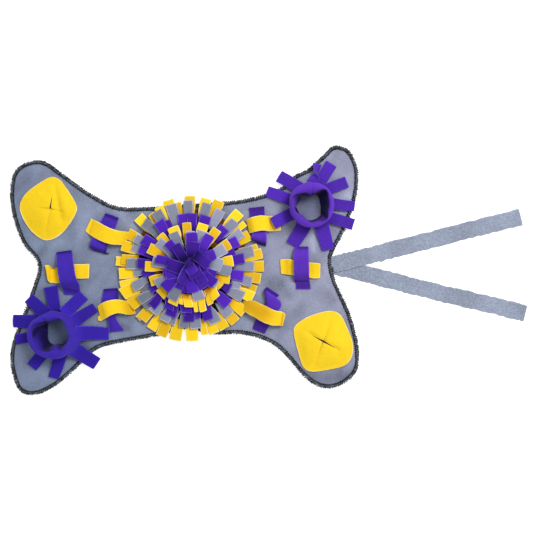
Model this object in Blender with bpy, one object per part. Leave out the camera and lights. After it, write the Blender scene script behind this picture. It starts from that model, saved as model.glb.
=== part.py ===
"""Snuffle mat: a bone-shaped fleece mat that lies flat on the floor.

An overlocked fleece base carries a layered fringe rosette in the middle, two slit pockets, two
soft cups with a skirt of tabs, six pairs of crossed strap loops and two long ties.
Lengths are in millimetres until a mesh is made. The origin is under the rosette, on the floor;
+X runs towards the ties, +Z is up.
"""
import math

import bmesh
import bpy
from mathutils import Vector

MM = 0.001

# Cloth and seats
GAP = 0.3                 # clearance between two sewn pieces
FLEECE = 2.2              # thickness of a cut strip of fleece
BASE_THICK = 3.2          # the base cloth
BASE_TOP = BASE_THICK
SEAT = BASE_TOP + GAP     # underside of what is sewn on the base

# Overlocked edge: thread that wraps the base's rim, which it presses thinner
EDGE_WALL = 1.5           # thickness beyond the cloth's edge
EDGE_REACH = 6.0          # how far it covers the cloth, above and below
EDGE_UNDER = 0.9
EDGE_TOP = 4.6
RIM_LIFT = EDGE_UNDER + GAP

# Outline of the overlocked edge, clockwise from the top-left lobe: x, y
OUTLINE_COLUMNS = ("x", "y")
OUTLINE = (
    (-314.1, 131.0), (-306.3, 169.0), (-283.5, 185.5), (-255.5, 187.0), (-227.5, 169.0),
    (-182.7, 136.5), (-129.0, 108.5), (-70.0, 106.8), (14.0, 112.7), (101.5, 121.8),
    (159.3, 140.9), (182.7, 161.7), (206.5, 173.6), (231.9, 196.7), (251.0, 213.5),
    (275.6, 208.3), (292.3, 178.5), (293.1, 136.5), (271.3, 66.5), (248.5, 21.0),
    (251.1, -10.5), (282.3, -85.8), (295.6, -147.0), (291.4, -180.3), (267.8, -203.0),
    (238.0, -210.0), (209.0, -198.3), (148.8, -135.8), (96.3, -116.6), (38.5, -115.5),
    (-5.3, -106.4), (-56.0, -119.0), (-122.5, -130.9), (-162.9, -142.5), (-205.1, -181.8),
    (-239.8, -209.1), (-271.3, -221.9), (-295.8, -216.3), (-312.4, -175.0), (-311.5, -137.0),
    (-277.7, -43.8), (-265.7, 7.0), (-290.5, 41.1), (-308.0, 85.8),
)
OUTLINE_STEPS = 3         # facets for each row of the outline

# Pockets: outline of the sewn-down panel, then the four arms of its slit
POCKET_COLUMNS = ("centre", "outline", "arms (angle, length)", "dome")
POCKETS = {
    "pocket_top_left": (
        (-242.4, 104.1),
        ((-297.0, 110.3), (-288.8, 127.8), (-262.5, 148.8), (-241.5, 159.3), (-227.5, 154.9),
         (-214.4, 138.3), (-197.8, 110.3), (-196.9, 99.8), (-218.8, 64.8), (-240.6, 49.5),
         (-256.4, 49.0), (-279.1, 66.5), (-295.8, 96.3)),
        ((83.0, 21.0), (178.0, 13.0), (262.0, 17.0), (343.0, 18.0)),
        9.0,
    ),
    "pocket_bottom_right": (
        (232.8, -127.8),
        ((245.0, -74.6), (262.0, -80.5), (274.6, -103.3), (285.3, -134.8), (282.3, -156.6),
         (272.3, -169.2), (241.5, -178.0), (209.0, -180.8), (197.8, -173.3), (190.4, -152.3),
         (181.7, -117.3), (182.0, -103.3), (193.6, -92.1), (214.4, -81.7)),
        ((59.0, 16.0), (151.0, 22.0), (250.0, 27.0), (331.0, 24.0)),
        9.5,
    ),
}
POCKET_RINGS = (0.0, 0.18, 0.42, 0.68, 0.88, 1.0)   # from the slit to the seam
SLIT_HALF = 1.3                                     # half the slit's width at its crossing

# Cups: soft rolled collars of doubled fleece. The foot is an ellipse sewn on the base. Round the
# rim the roll leans in and out, so each row gives its widest line, its crest and its inner lip.
CUP_FEET_COLUMNS = ("foot x", "foot y", "foot radius x", "foot radius y", "rim x", "rim y")
CUP_FEET = {
    "cup_bottom_left": (-231.0, -113.0, 26.0, 29.0, -231.0, -116.0),
    "cup_top_right": (209.0, 108.0, 27.0, 27.0, 211.0, 109.0),
}
CUP_RIM_COLUMNS = ("angle", "widest", "widest height", "crest", "inner lip")
CUP_RIMS = {
    "cup_bottom_left": (
        (0, 46.0, 17.0, 35.0, 27.0), (45, 43.0, 18.0, 31.0, 23.0), (90, 40.0, 27.0, 33.0, 25.0),
        (135, 45.0, 31.0, 38.5, 29.0), (180, 46.0, 32.0, 41.0, 34.0), (225, 46.0, 32.0, 39.0, 30.0),
        (270, 41.0, 31.0, 32.0, 20.0), (315, 40.0, 24.0, 33.0, 25.0),
    ),
    "cup_top_right": (
        (0, 39.5, 32.0, 36.0, 30.0), (45, 39.0, 32.0, 35.5, 30.0), (90, 40.5, 31.0, 31.0, 17.0),
        (135, 41.0, 31.0, 35.0, 25.0), (180, 41.0, 31.0, 36.0, 26.0), (225, 42.0, 31.0, 35.5, 24.0),
        (270, 40.0, 32.0, 37.0, 32.0), (315, 41.0, 32.0, 38.0, 34.0),
    ),
}
CUP_HEIGHT = 38.5
CUP_WALL = 5.0            # two layers of fleece at the foot
CUP_SIDES = 32

# Tabs round each cup: the middle of the tip, the width and how far a tab rides over a loop
SKIRT_COLUMNS = ("tip x", "tip y", "width", "lift")
SKIRTS = {
    "cup_bottom_left": (
        (-243.3, -31.5, 25.0, 0.0), (-185.5, -46.9, 21.5, 0.0), (-165.9, -68.8, 16.0, 0.0),
        (-140.9, -114.6, 21.0, 0.0), (-161.4, -168.9, 22.5, 0.0), (-238.4, -193.4, 19.5, 0.0),
        (-277.4, -173.3, 19.5, 0.0), (-303.1, -126.0, 14.5, 0.0), (-310.6, -92.8, 20.5, 0.0),
        (-283.5, -52.7, 20.5, 0.0),
    ),
    "cup_top_right": (
        (155.2, 160.3, 22.0, 0.0), (135.1, 133.4, 18.5, 0.0), (144.6, 76.3, 21.0, 6.0),
        (178.3, 39.0, 22.5, 0.0), (242.7, 31.0, 21.0, 0.0), (286.1, 75.3, 20.0, 0.0),
        (289.1, 107.3, 18.0, 0.0), (274.8, 150.0, 22.0, 0.0), (248.2, 182.7, 21.0, 0.0),
        (220.9, 182.9, 16.0, 0.0),
    ),
}
SKIRT_STRIP = 5.0         # width of the ring strip that holds the tabs
SKIRT_ROOT = 14.0
SKIRT_MID = 9.2           # mid-height of a tab halfway along, and at its tip
SKIRT_TIP = 8.2

# Crossed loops: two sewn ends, the width, the flat ends, the rise and the sideways bow
LOOP_COLUMNS = ("x1", "y1", "x2", "y2", "width", "flat 1", "flat 2", "rise", "bow")
LOOPS = {
    "loop_top_left_yellow": (-178.0, 75.4, -102.7, 47.6, 25.0, 8.0, 14.0, 13.0, 1.0),
    "loop_top_left_purple": (-135.6, 92.4, -161.0, 28.9, 26.0, 6.0, 6.0, 6.0, 0.0),
    "loop_left_purple": (-220.9, 30.5, -207.4, -43.4, 27.0, 6.0, 8.0, 13.0, 0.0),
    "loop_left_yellow": (-249.4, -10.0, -175.0, -5.8, 27.0, 7.0, 7.0, 6.0, 0.0),
    "loop_bottom_left_yellow": (-158.4, -79.4, -94.5, -70.2, 25.0, 6.0, 13.0, 13.0, 4.0),
    "loop_bottom_left_purple": (-134.5, -35.7, -126.5, -108.5, 24.0, 6.0, 8.0, 6.0, 0.0),
    "loop_top_right_yellow": (97.0, 74.0, 158.0, 78.4, 25.0, 7.0, 14.0, 13.0, 0.0),
    "loop_top_right_purple": (120.5, 106.5, 123.5, 43.5, 23.5, 6.0, 6.0, 5.6, 0.0),
    "loop_right_purple": (195.7, 39.0, 199.2, -39.5, 27.0, 8.0, 9.0, 13.0, 0.0),
    "loop_right_yellow": (159.3, 2.0, 227.5, -4.2, 26.5, 7.0, 7.0, 6.0, 0.0),
    "loop_bottom_right_yellow": (91.5, -60.9, 163.8, -90.0, 24.5, 16.0, 6.0, 13.0, 0.0),
    "loop_bottom_right_purple": (145.0, -43.5, 124.0, -109.0, 25.0, 6.0, 6.0, 6.0, 0.0),
}
LOOP_STATIONS = (0.0, 0.07, 0.18, 0.34, 0.5, 0.66, 0.82, 0.93, 1.0)
LOOP_SHAPE = 3.5          # how square the arch is

# Rosette: each tier is an upright ring strip, and its tabs fan out over the tier before it
TIER_SLOPE = 0.11         # fall of the tabs for each millimetre outwards
TIER_FIRST = 21.1         # where the first tier's slope would meet the axis
TIER_PITCH = 5.4          # from one tier up to the next
OVER = 2.7                # a tab that lies over its neighbours
TAB_COLUMNS = ("angle", "reach", "width", "over")
TIER_COLUMNS = ("tint", "strip radius", "strip wall", "root width", "lean x", "tabs")
TIERS = {
    "rosette_tier_1": ("yellow", 88.0, FLEECE, 13.6, 0.4, (
        (1.4, 129, 20, 0), (11.6, 129, 19, 1), (17.0, 124, 14, 0), (29.0, 119, 20, 0),
        (39.0, 124, 12, 1), (48.4, 131, 20, 0), (66.4, 128, 20, 0), (76.5, 125, 19, 1),
        (90.0, 126, 20, 0), (99.9, 117, 10, 0), (107.9, 125, 20, 0), (117.2, 120, 17, 1),
        (125.6, 117, 14, 0), (135.3, 127, 20, 0), (150.8, 125, 20, 0), (161.3, 125, 20, 1),
        (173.0, 121, 18, 1), (175.4, 131, 14, 0), (184.6, 124, 20, 1), (194.0, 126, 16, 0),
        (201.6, 126, 20, 1), (212.7, 119, 21, 0), (224.2, 127, 12, 0), (229.0, 126, 20, 1),
        (237.6, 127, 19, 0), (247.0, 129, 20, 1), (258.3, 129, 22, 0), (272.0, 128, 22, 0),
        (283.0, 120, 12, 1), (290.5, 122, 19, 0), (300.0, 122, 19, 1), (310.0, 124, 20, 0),
        (321.0, 123, 20, 1), (335.0, 122, 20, 1), (342.0, 122, 14, 0), (351.5, 125, 19, 1),
    )),
    "rosette_tier_2": ("grey", 77.0, FLEECE, 15.4, 0.8, (
        (1.3, 112, 18, 0), (14.2, 115, 17, 0), (34.5, 110, 18, 0), (45.7, 114, 19, 0),
        (62.0, 114, 18, 0), (75.0, 117, 17, 0), (91.6, 118, 17, 0), (106.9, 116, 20, 0),
        (121.0, 115, 19, 0), (136.0, 115, 18, 0), (151.0, 109, 17, 1), (159.6, 107, 16, 0),
        (176.0, 110, 19, 1), (185.0, 99, 14, 0), (198.6, 105, 18, 1), (203.8, 94, 12, 0),
        (212.9, 105, 17, 1), (221.2, 105, 14, 0), (230.5, 101, 19, 1), (244.2, 103, 19, 1),
        (252.5, 104, 11, 0), (264.0, 105, 18, 0), (276.0, 106, 20, 0), (294.4, 106, 20, 0),
        (310.8, 108, 18, 0), (329.3, 107, 20, 0), (346.8, 111, 18, 0),
    )),
    "rosette_tier_3": ("purple", 64.0, FLEECE, 14.8, 1.3, (
        (10.3, 96, 18, 0), (29.4, 96, 20, 0), (49.0, 93, 20, 0), (72.9, 95, 20, 0),
        (87.3, 95, 18, 1), (98.0, 95, 18, 0), (116.8, 92, 12, 0), (124.0, 98, 19, 1),
        (147.7, 96, 19, 1), (159.5, 95, 17, 0), (174.6, 92, 18, 1), (187.0, 84, 12, 0),
        (208.6, 79, 15, 0), (225.1, 95, 17, 0), (243.0, 81, 18, 1), (247.5, 91, 20, 0),
        (266.0, 78, 20, 1), (268.9, 93, 19, 0), (279.2, 89, 10, 0), (289.6, 96, 18, 1),
        (316.1, 92, 20, 0), (330.0, 73, 16, 1), (351.2, 94, 19, 0),
    )),
    "rosette_tier_4": ("yellow", 52.0, FLEECE, 13.6, 1.8, (
        (9.5, 76, 20, 0), (31.9, 81, 20, 0), (54.8, 82, 17, 0), (72.6, 80, 19, 1),
        (94.4, 79, 16, 0), (112.9, 77, 20, 1), (132.9, 78, 17, 0), (154.0, 79, 19, 1),
        (177.8, 78, 18, 0), (198.9, 73, 18, 0), (222.3, 70, 20, 0), (244.6, 70, 18, 1),
        (256.0, 65, 10, 0), (268.5, 68, 16, 1), (278.4, 77, 8, 0), (287.4, 79, 13, 1),
        (299.6, 73, 12, 0), (311.0, 70, 17, 1), (324.0, 70, 16, 0), (343.4, 72, 18, 1),
    )),
    "rosette_tier_5": ("grey", 38.0, FLEECE, 16.0, 2.2, (
        (2.6, 56, 18, 1), (29.4, 70, 20, 0), (70.6, 68, 20, 0), (89.0, 64, 16, 1),
        (115.7, 68, 18, 0), (140.0, 72, 17, 0), (170.0, 66, 18, 0), (204.6, 66, 17, 0),
        (239.4, 64, 20, 0), (287.2, 58, 21, 0), (328.5, 55, 14, 0), (355.7, 71, 17, 0),
    )),
    "rosette_tier_6": ("purple", 27.0, FLEECE, 15.0, 2.6, (
        (0.0, 43, 16, 0), (29.3, 50, 19, 1), (59.6, 65, 20, 0), (87.2, 60, 18, 1),
        (131.0, 59, 18, 0), (166.6, 61, 19, 1), (190.0, 46, 15, 0), (219.7, 59, 20, 1),
        (277.3, 45, 20, 0), (323.9, 51, 20, 1),
    )),
    "rosette_tier_7": ("purple", 18.5, FLEECE, 13.4, 3.0, (
        (35.8, 36, 18, 0), (80.0, 37, 18, 1), (123.7, 48, 18, 0), (170.6, 42, 20, 1),
        (208.0, 41, 18, 0), (247.0, 36, 19, 1), (300.0, 36, 19, 0), (345.0, 33, 18, 1),
    )),
    "rosette_tier_8": ("purple", 8.0, 6.6, 11.4, 3.4, (
        (50.0, 23, 18, 0), (140.0, 24, 19, 0), (228.0, 25, 18, 0), (305.0, 25, 19, 0),
    )),
}
TAB_STATIONS = (0.3, 0.62, 1.0)

# Ties: mid-line x, y and underside z, then the width
TIE_WIDTH = 29.5
TIE_COLUMNS = ("x", "y", "underside")
TIES = {
    "tie_lower": (
        (249.2, 4.2, 0.0), (300.0, -8.4, 0.0), (360.0, -24.0, 0.0), (430.0, -41.6, 0.0),
        (510.0, -60.4, 0.0), (587.0, -79.6, 0.0),
    ),
    "tie_upper": (
        (249.2, 5.6, 2.5), (280.0, 13.5, 2.5), (314.0, 22.1, 2.5), (352.0, 31.8, 0.2),
        (430.0, 51.4, 0.0), (510.0, 71.6, 0.0), (579.0, 89.6, 0.0),
    ),
}
TIE_COLUMNS_ACROSS = (-1.0, 0.0, 1.0)

TINTS = {
    "grey": (0.262, 0.287, 0.392), "yellow": (0.935, 0.665, 0.016),
    "purple": (0.078, 0.031, 0.462), "thread": (0.020, 0.022, 0.028),
    "pale grey": (0.380, 0.420, 0.530),
}


def clear_scene():
    for item in list(bpy.data.objects):
        bpy.data.objects.remove(item, do_unlink=True)


def material(name, tint):
    found = bpy.data.materials.new(name)
    found.use_nodes = True
    shader = found.node_tree.nodes["Principled BSDF"]
    shader.inputs["Base Color"].default_value = (*TINTS[tint], 1.0)
    shader.inputs["Roughness"].default_value = 0.95
    shader.inputs["Metallic"].default_value = 0.0
    found.diffuse_color = (*TINTS[tint], 1.0)
    return found


def make(name, bm, tint):
    """Closes the mesh's normals outwards, turns millimetres into metres and makes the object."""
    bmesh.ops.remove_doubles(bm, verts=bm.verts, dist=1e-5)
    bmesh.ops.recalc_face_normals(bm, faces=bm.faces)
    bmesh.ops.scale(bm, vec=(MM, MM, MM), verts=bm.verts)
    mesh = bpy.data.meshes.new(name)
    bm.to_mesh(mesh)
    bm.free()
    item = bpy.data.objects.new(name, mesh)
    mesh.materials.append(material(name, tint))
    COLLECTION.objects.link(item)
    return item


def loft(sections, ring=False):
    """Joins equal closed sections with quads; the run is a ring or has a face at each end."""
    bm = bmesh.new()
    rows = [[bm.verts.new(point) for point in section] for section in sections]
    count = len(rows[0])
    pairs = list(zip(rows, rows[1:]))
    if ring:
        pairs.append((rows[-1], rows[0]))
    for near, far in pairs:
        for i in range(count):
            j = (i + 1) % count
            bm.faces.new((near[i], near[j], far[j], far[i]))
    if not ring:
        ends = [bm.faces.new(rows[0]), bm.faces.new(list(reversed(rows[-1])))]
        bmesh.ops.triangulate(bm, faces=ends, ngon_method="BEAUTY")
    return bm


def smooth_loop(points, steps):
    """A closed curve through the points, with this many facets between two of them."""
    count = len(points)
    out = []
    for i in range(count):
        p0, p1, p2, p3 = (Vector(points[(i + k) % count]) for k in (-1, 0, 1, 2))
        knots = [0.0]
        for a, b in ((p0, p1), (p1, p2), (p2, p3)):
            knots.append(knots[-1] + max((b - a).length, 1e-6) ** 0.5)
        t0, t1, t2, t3 = knots
        for k in range(steps):
            t = t1 + (t2 - t1) * k / steps
            a1 = p0 * (t1 - t) / (t1 - t0) + p1 * (t - t0) / (t1 - t0)
            a2 = p1 * (t2 - t) / (t2 - t1) + p2 * (t - t1) / (t2 - t1)
            a3 = p2 * (t3 - t) / (t3 - t2) + p3 * (t - t2) / (t3 - t2)
            b1 = a1 * (t2 - t) / (t2 - t0) + a2 * (t - t0) / (t2 - t0)
            b2 = a2 * (t3 - t) / (t3 - t1) + a3 * (t - t1) / (t3 - t1)
            out.append(b1 * (t2 - t) / (t2 - t1) + b2 * (t - t1) / (t2 - t1))
    return out


def inset(loop, depth):
    """The loop moved inwards by a depth. It runs clockwise, so inwards is to its right."""
    out = []
    for i, point in enumerate(loop):
        ahead = (loop[(i + 1) % len(loop)] - loop[i - 1]).normalized()
        out.append(Vector((point.x + ahead.y * depth, point.y - ahead.x * depth)))
    return out


def at(point, z):
    return Vector((point.x, point.y, z))


def mat_base(rim):
    """The cloth: one flat sheet whose rim is pressed thinner inside the overlocking."""
    inner = inset(rim, EDGE_REACH + GAP)
    edge = inset(rim, EDGE_WALL + GAP)
    sections = (
        [at(p, 0.0) for p in inner], [at(p, RIM_LIFT) for p in inner],
        [at(p, RIM_LIFT) for p in edge], [at(p, BASE_TOP) for p in edge],
    )
    make("mat_base", loft(sections), "grey")


def overlock_edge(rim):
    """Thread wrapped round the rim: a C section that follows the outline."""
    reach = inset(rim, EDGE_REACH)
    wall = inset(rim, EDGE_WALL)
    top = BASE_TOP + GAP
    sections = [
        (at(o, 0.0), at(o, EDGE_TOP), at(r, EDGE_TOP), at(r, top),
         at(w, top), at(w, EDGE_UNDER), at(r, EDGE_UNDER), at(r, 0.0))
        for o, w, r in zip(rim, wall, reach)
    ]
    make("overlock_edge", loft(sections, ring=True), "thread")


def ray_reach(loop, centre, angle):
    """How far the loop lies from a centre inside it, at an angle."""
    way = Vector((math.cos(angle), math.sin(angle)))
    best = None
    for i, a in enumerate(loop):
        b = loop[(i + 1) % len(loop)]
        side = b - a
        cross = way.x * side.y - way.y * side.x
        if abs(cross) < 1e-9:
            continue
        gap = a - centre
        along = (gap.x * side.y - gap.y * side.x) / cross
        share = (gap.x * way.y - gap.y * way.x) / cross
        if along > 0 and -1e-9 <= share <= 1 + 1e-9:
            best = along if best is None else max(best, along)
    return best


def pocket(name, centre, outline, arms, dome):
    """A panel sewn down round its edge, raised in the middle, with a cross cut through it."""
    centre = Vector(centre)
    loop = smooth_loop(outline, 3)
    columns = []
    count = len(arms)
    for i, (angle, length) in enumerate(arms):
        wide = (arms[(i + 1) % count][0] - angle) % 360.0
        columns.append((angle, length))
        for share in (0.10, 0.26, 0.42, 0.58, 0.74, 0.90):
            columns.append((angle + wide * share, None))
    rows = []
    for angle, length in columns:
        turn = math.radians(angle)
        way = Vector((math.cos(turn), math.sin(turn)))
        far = ray_reach(loop, centre, turn)
        if length is None:
            nearest = min(
                abs(math.sin(turn - math.radians(arm)))
                for arm, _ in arms
                if math.cos(turn - math.radians(arm)) > 0
            )
            near = SLIT_HALF / max(nearest, 0.22)
        else:
            near = length
        row = []
        for share in POCKET_RINGS:
            reach = near + (far - near) * share
            u = min(reach / far / 0.93, 1.0)
            lift = dome * (1.0 - u ** 2.4) ** 1.3
            row.append(at(centre + way * reach, SEAT + lift))
        rows.append(row)
    sections = [
        [point + Vector((0.0, 0.0, FLEECE)) for point in row] + list(reversed(row)) for row in rows
    ]
    make(name, loft(sections, ring=True), "yellow")


def round_value(rows, column, angle):
    """A column's value at an angle, eased between the rows on either side of it."""
    step = 360.0 / len(rows)
    place = (angle % 360.0) / step
    k = int(place) % len(rows)
    ease = 0.5 - 0.5 * math.cos(math.pi * (place - int(place)))
    return rows[k][column] * (1.0 - ease) + rows[(k + 1) % len(rows)][column] * ease


def cup(name, foot, rim_rows):
    """A rolled collar of doubled fleece. It is open above, and below it shows the base."""
    foot_x, foot_y, radius_x, radius_y, rim_x, rim_y = foot
    sections = []
    for i in range(CUP_SIDES):
        angle = 360.0 * i / CUP_SIDES
        cos, sin = math.cos(math.radians(angle)), math.sin(math.radians(angle))
        widest, height, crest, lip = (round_value(rim_rows, k, angle) for k in (1, 2, 3, 4))

        def place(share, reach_rim, inwards, z):
            """A point a share of the way from the foot's ellipse to a reach from the rim's centre."""
            x0, y0 = foot_x + (radius_x - inwards) * cos, foot_y + (radius_y - inwards) * sin
            x1, y1 = rim_x + reach_rim * cos, rim_y + reach_rim * sin
            return Vector((x0 + (x1 - x0) * share, y0 + (y1 - y0) * share, SEAT + z))

        sections.append([
            place(0.0, widest, 0.0, 0.0), place(0.0, widest, 0.0, 3.4),
            place(0.45, widest, 0.0, 3.4 + (height - 3.4) * 0.42), place(1.0, widest, 0.0, height),
            place(1.0, (widest * 2.0 + crest) / 3.0, 0.0, (height + CUP_HEIGHT * 2.0) / 3.0 - 0.5),
            place(1.0, crest, 0.0, CUP_HEIGHT),
            place(1.0, (crest + lip) / 2.0, 0.0, CUP_HEIGHT - 1.5),
            place(1.0, lip, 0.0, CUP_HEIGHT - 8.0),
            place(0.35, lip, CUP_WALL, 14.0), place(0.0, lip, CUP_WALL, 0.0),
        ])
    make(name, loft(sections, ring=True), "purple")


def spread(angles, least):
    """Angles near those given, in the same order, but at least so many degrees apart."""
    out = list(angles)
    count = len(out)
    for _ in range(600):
        for i in range(count):
            j = (i + 1) % count
            gap = out[j] - out[i] + (360.0 if j == 0 else 0.0)
            if gap < least:
                push = (least - gap) / 2.0
                out[i] -= push
                out[j] += push
    return out


def fringe(name, tint, centre, radii, wall, foot, root, tabs, root_width, level):
    """A ring strip with tabs fused to its outer side.

    centre and radii give the strip's outer line, wall its thickness, foot its underside and
    root the mid-height where tabs leave it. Each tab is (tip, width, over), and level gives its
    mid-height at a share of its length and at a distance from the centre.
    """
    bm = bmesh.new()
    low, high = root - FLEECE / 2.0, root + FLEECE / 2.0
    mean = (radii[0] + radii[1]) / 2.0
    half = math.degrees(root_width / 2.0 / mean)
    tips = [(math.degrees(math.atan2(tip[1] - centre[1], tip[0] - centre[0])) % 360.0,
             Vector(tip), width, over) for tip, width, over in tabs]
    tips.sort(key=lambda row: row[0])
    roots = spread([row[0] for row in tips], 2.0 * half + math.degrees(0.7 / mean))

    def rim_point(angle, inwards=0.0):
        turn = math.radians(angle)
        return Vector((centre[0] + (radii[0] - inwards) * math.cos(turn),
                       centre[1] + (radii[1] - inwards) * math.sin(turn)))

    levels = [foot, low, high] if low - foot > 0.3 else [foot, high]

    def column(angle):
        outer, inner = rim_point(angle), rim_point(angle, wall)
        return [bm.verts.new(at(outer, z)) for z in levels] + [
            bm.verts.new(at(inner, high)), bm.verts.new(at(inner, foot))]

    edges = []
    for i, angle in enumerate(roots):
        following = roots[(i + 1) % len(roots)] + (360.0 if i + 1 == len(roots) else 0.0)
        edges.append((angle - half, i))
        start, stop = angle + half, following - half
        pieces = max(1, math.ceil((stop - start) / 20.0))
        edges.extend((start + (stop - start) * k / pieces, None) for k in range(pieces))
    rows = [(column(angle), index) for angle, index in edges]
    faces = {}
    for k, (near, index) in enumerate(rows):
        far = rows[(k + 1) % len(rows)][0]
        for i in range(len(near)):
            j = (i + 1) % len(near)
            face = bm.faces.new((near[i], near[j], far[j], far[i]))
            if index is not None and i == len(levels) - 2:
                faces[index] = face
    bm.normal_update()
    for index, face in faces.items():
        _, tip, width, over = tips[index]
        right, left = rim_point(roots[index] - half), rim_point(roots[index] + half)
        start = (left + right) / 2.0
        root_side = (left - right).normalized()
        ahead = (tip - start).normalized()
        side = Vector((-ahead.y, ahead.x))
        corners = [at(right, levels[-2]), at(right, high), at(left, levels[-2]), at(left, high)]
        for share in TAB_STATIONS:
            middle = start.lerp(tip, share)
            across = (root_side.lerp(side, min(1.0, share * 2.0))).normalized()
            wide = root_width if share < 0.5 else width
            z = level(share, (middle - Vector(centre)).length, over)
            face = bmesh.ops.extrude_discrete_faces(bm, faces=[face])["faces"][0]
            places = [
                at(middle + across * wide / 2.0 * way, z + FLEECE / 2.0 * up)
                for way in (-1, 1) for up in (-1, 1)
            ]
            found = [min(range(4), key=lambda n: (vert.co - corners[n]).length)
                     for vert in face.verts]
            for vert, number in zip(face.verts, found):
                vert.co = places[number]
            corners = places
    make(name, bm, tint)


def tier(name, number, tint, radius, wall, root_width, lean, table):
    """One tier of the rosette. All its tabs lie on a cone that falls outwards.

    The innermost strip is rolled up tight, so its wall is several turns thick.
    """
    crown = TIER_FIRST + TIER_PITCH * number

    def level(share, distance, over):
        return crown - TIER_SLOPE * distance + OVER * over

    tabs = []
    for angle, reach, width, over in table:
        turn = math.radians(angle)
        tabs.append(((lean + reach * math.cos(turn), reach * math.sin(turn)), width, over))
    root = crown - TIER_SLOPE * radius + OVER / 2.0
    fringe(name, tint, (lean, 0.0), (radius, radius), wall, SEAT, root, tabs, root_width, level)


def skirt(name, foot, foot_radii, table):
    """The tabs round a cup, cut in one with a ring strip that is sewn against its wall."""
    def level(share, distance, lift):
        return (SKIRT_TIP if share > 0.9 else SKIRT_MID) + (lift if share > 0.5 else 0.0)

    outer = tuple(r + GAP + 0.6 + SKIRT_STRIP for r in foot_radii)
    tabs = [((x, y), width, lift) for x, y, width, lift in table]
    root = SEAT + FLEECE / 2.0
    fringe(name, "purple", foot, outer, SKIRT_STRIP, SEAT, root, tabs, SKIRT_ROOT, level)


def ribbon(name, tint, path, width, start_edge=None):
    """A flat strip of cloth along a path of mid-line points, as thick as fleece."""
    sections = []
    count = len(path)
    for i, point in enumerate(path):
        ahead = (path[min(i + 1, count - 1)] - path[max(i - 1, 0)]).normalized()
        side = Vector((-ahead.y, ahead.x, 0.0)).normalized()
        up = ahead.cross(side).normalized()
        if up.z < 0:
            up = -up
        across = TIE_COLUMNS_ACROSS if start_edge else (-1.0, 1.0)
        places = [point + side * width / 2.0 * share for share in across]
        if start_edge and i == 0:
            places = [Vector((start_edge(place.y), place.y, place.z)) for place in places]
        section = [place + up * FLEECE / 2.0 for place in places]
        section += [place - up * FLEECE / 2.0 for place in reversed(places)]
        sections.append(section)
    make(name, loft(sections), tint)


def loop(name, x1, y1, x2, y2, width, flat1, flat2, rise, bow):
    """A strap sewn flat at its two ends, with a squarish arch between them."""
    start, stop = Vector((x1, y1)), Vector((x2, y2))
    length = (stop - start).length
    ahead = (stop - start) / length
    side = Vector((-ahead.y, ahead.x))
    shares = [0.0] + [
        (flat1 + (length - flat1 - flat2) * s) / length for s in LOOP_STATIONS
    ] + [1.0]
    heights = [0.0] + [rise * (1.0 - abs(2.0 * s - 1.0) ** LOOP_SHAPE) for s in LOOP_STATIONS]
    heights.append(0.0)
    path = []
    for share, height in zip(shares, heights):
        place = start.lerp(stop, share) + side * bow * math.sin(math.pi * share)
        path.append(at(place, SEAT + FLEECE / 2.0 + 0.05 + height))
    ribbon(name, "yellow" if name.endswith("yellow") else "purple", path, width)


def tie(name, path, rim):
    """A long tie that lies on the floor and butts against the overlocked edge."""
    def edge(y):
        found = [
            a.x + (b.x - a.x) * (y - a.y) / (b.y - a.y)
            for a, b in zip(rim, rim[1:] + rim[:1])
            if (a.y - y) * (b.y - y) <= 0 and abs(a.y - b.y) > 1e-6 and a.x > 150
        ]
        return max(found) + GAP + 0.15

    points = [Vector((x, y, z + FLEECE / 2.0)) for x, y, z in path]
    ribbon(name, "pale grey", points, TIE_WIDTH, start_edge=edge)


clear_scene()
COLLECTION = bpy.data.collections.new("snuffle_mat")
bpy.context.scene.collection.children.link(COLLECTION)

RIM = smooth_loop(OUTLINE, OUTLINE_STEPS)
mat_base(RIM)
overlock_edge(RIM)
for pocket_name, row in POCKETS.items():
    pocket(pocket_name, *row)
for cup_name, foot_row in CUP_FEET.items():
    cup(cup_name, foot_row, CUP_RIMS[cup_name])
    skirt(cup_name + "_skirt", foot_row[:2], foot_row[2:4], SKIRTS[cup_name])
for loop_name, row in LOOPS.items():
    loop(loop_name, *row)
for order, (tier_name, row) in enumerate(TIERS.items()):
    tier(tier_name, order, *row)
for tie_name, row in TIES.items():
    tie(tie_name, row, RIM)
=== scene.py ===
"""A bone-shaped snuffle mat of cut, sewn and overlocked fleece.

Tables and shapes are in millimetres. sew_up() turns a piece into metres, once it is shaped.
The origin is on the floor under the rosette, +X runs towards the ties and +Z is up.
Angles in the tables are in degrees, counter-clockwise from +X.
"""
import math

import bmesh
import bpy
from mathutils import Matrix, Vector, kdtree, noise


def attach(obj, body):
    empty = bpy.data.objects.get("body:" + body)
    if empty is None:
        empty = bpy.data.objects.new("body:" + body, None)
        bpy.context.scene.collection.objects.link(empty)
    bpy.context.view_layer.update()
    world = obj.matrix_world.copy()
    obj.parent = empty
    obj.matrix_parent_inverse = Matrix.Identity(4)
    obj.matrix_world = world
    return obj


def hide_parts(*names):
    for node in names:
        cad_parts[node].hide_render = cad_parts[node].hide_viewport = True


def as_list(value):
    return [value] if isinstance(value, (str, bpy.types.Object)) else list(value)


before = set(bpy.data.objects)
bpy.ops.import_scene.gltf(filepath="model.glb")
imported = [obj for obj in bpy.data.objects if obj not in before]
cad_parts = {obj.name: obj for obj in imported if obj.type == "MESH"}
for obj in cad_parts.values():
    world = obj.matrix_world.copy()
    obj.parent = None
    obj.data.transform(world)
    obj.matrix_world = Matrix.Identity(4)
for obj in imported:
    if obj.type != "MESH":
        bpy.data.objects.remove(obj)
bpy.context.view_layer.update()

MM = 0.001

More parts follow.
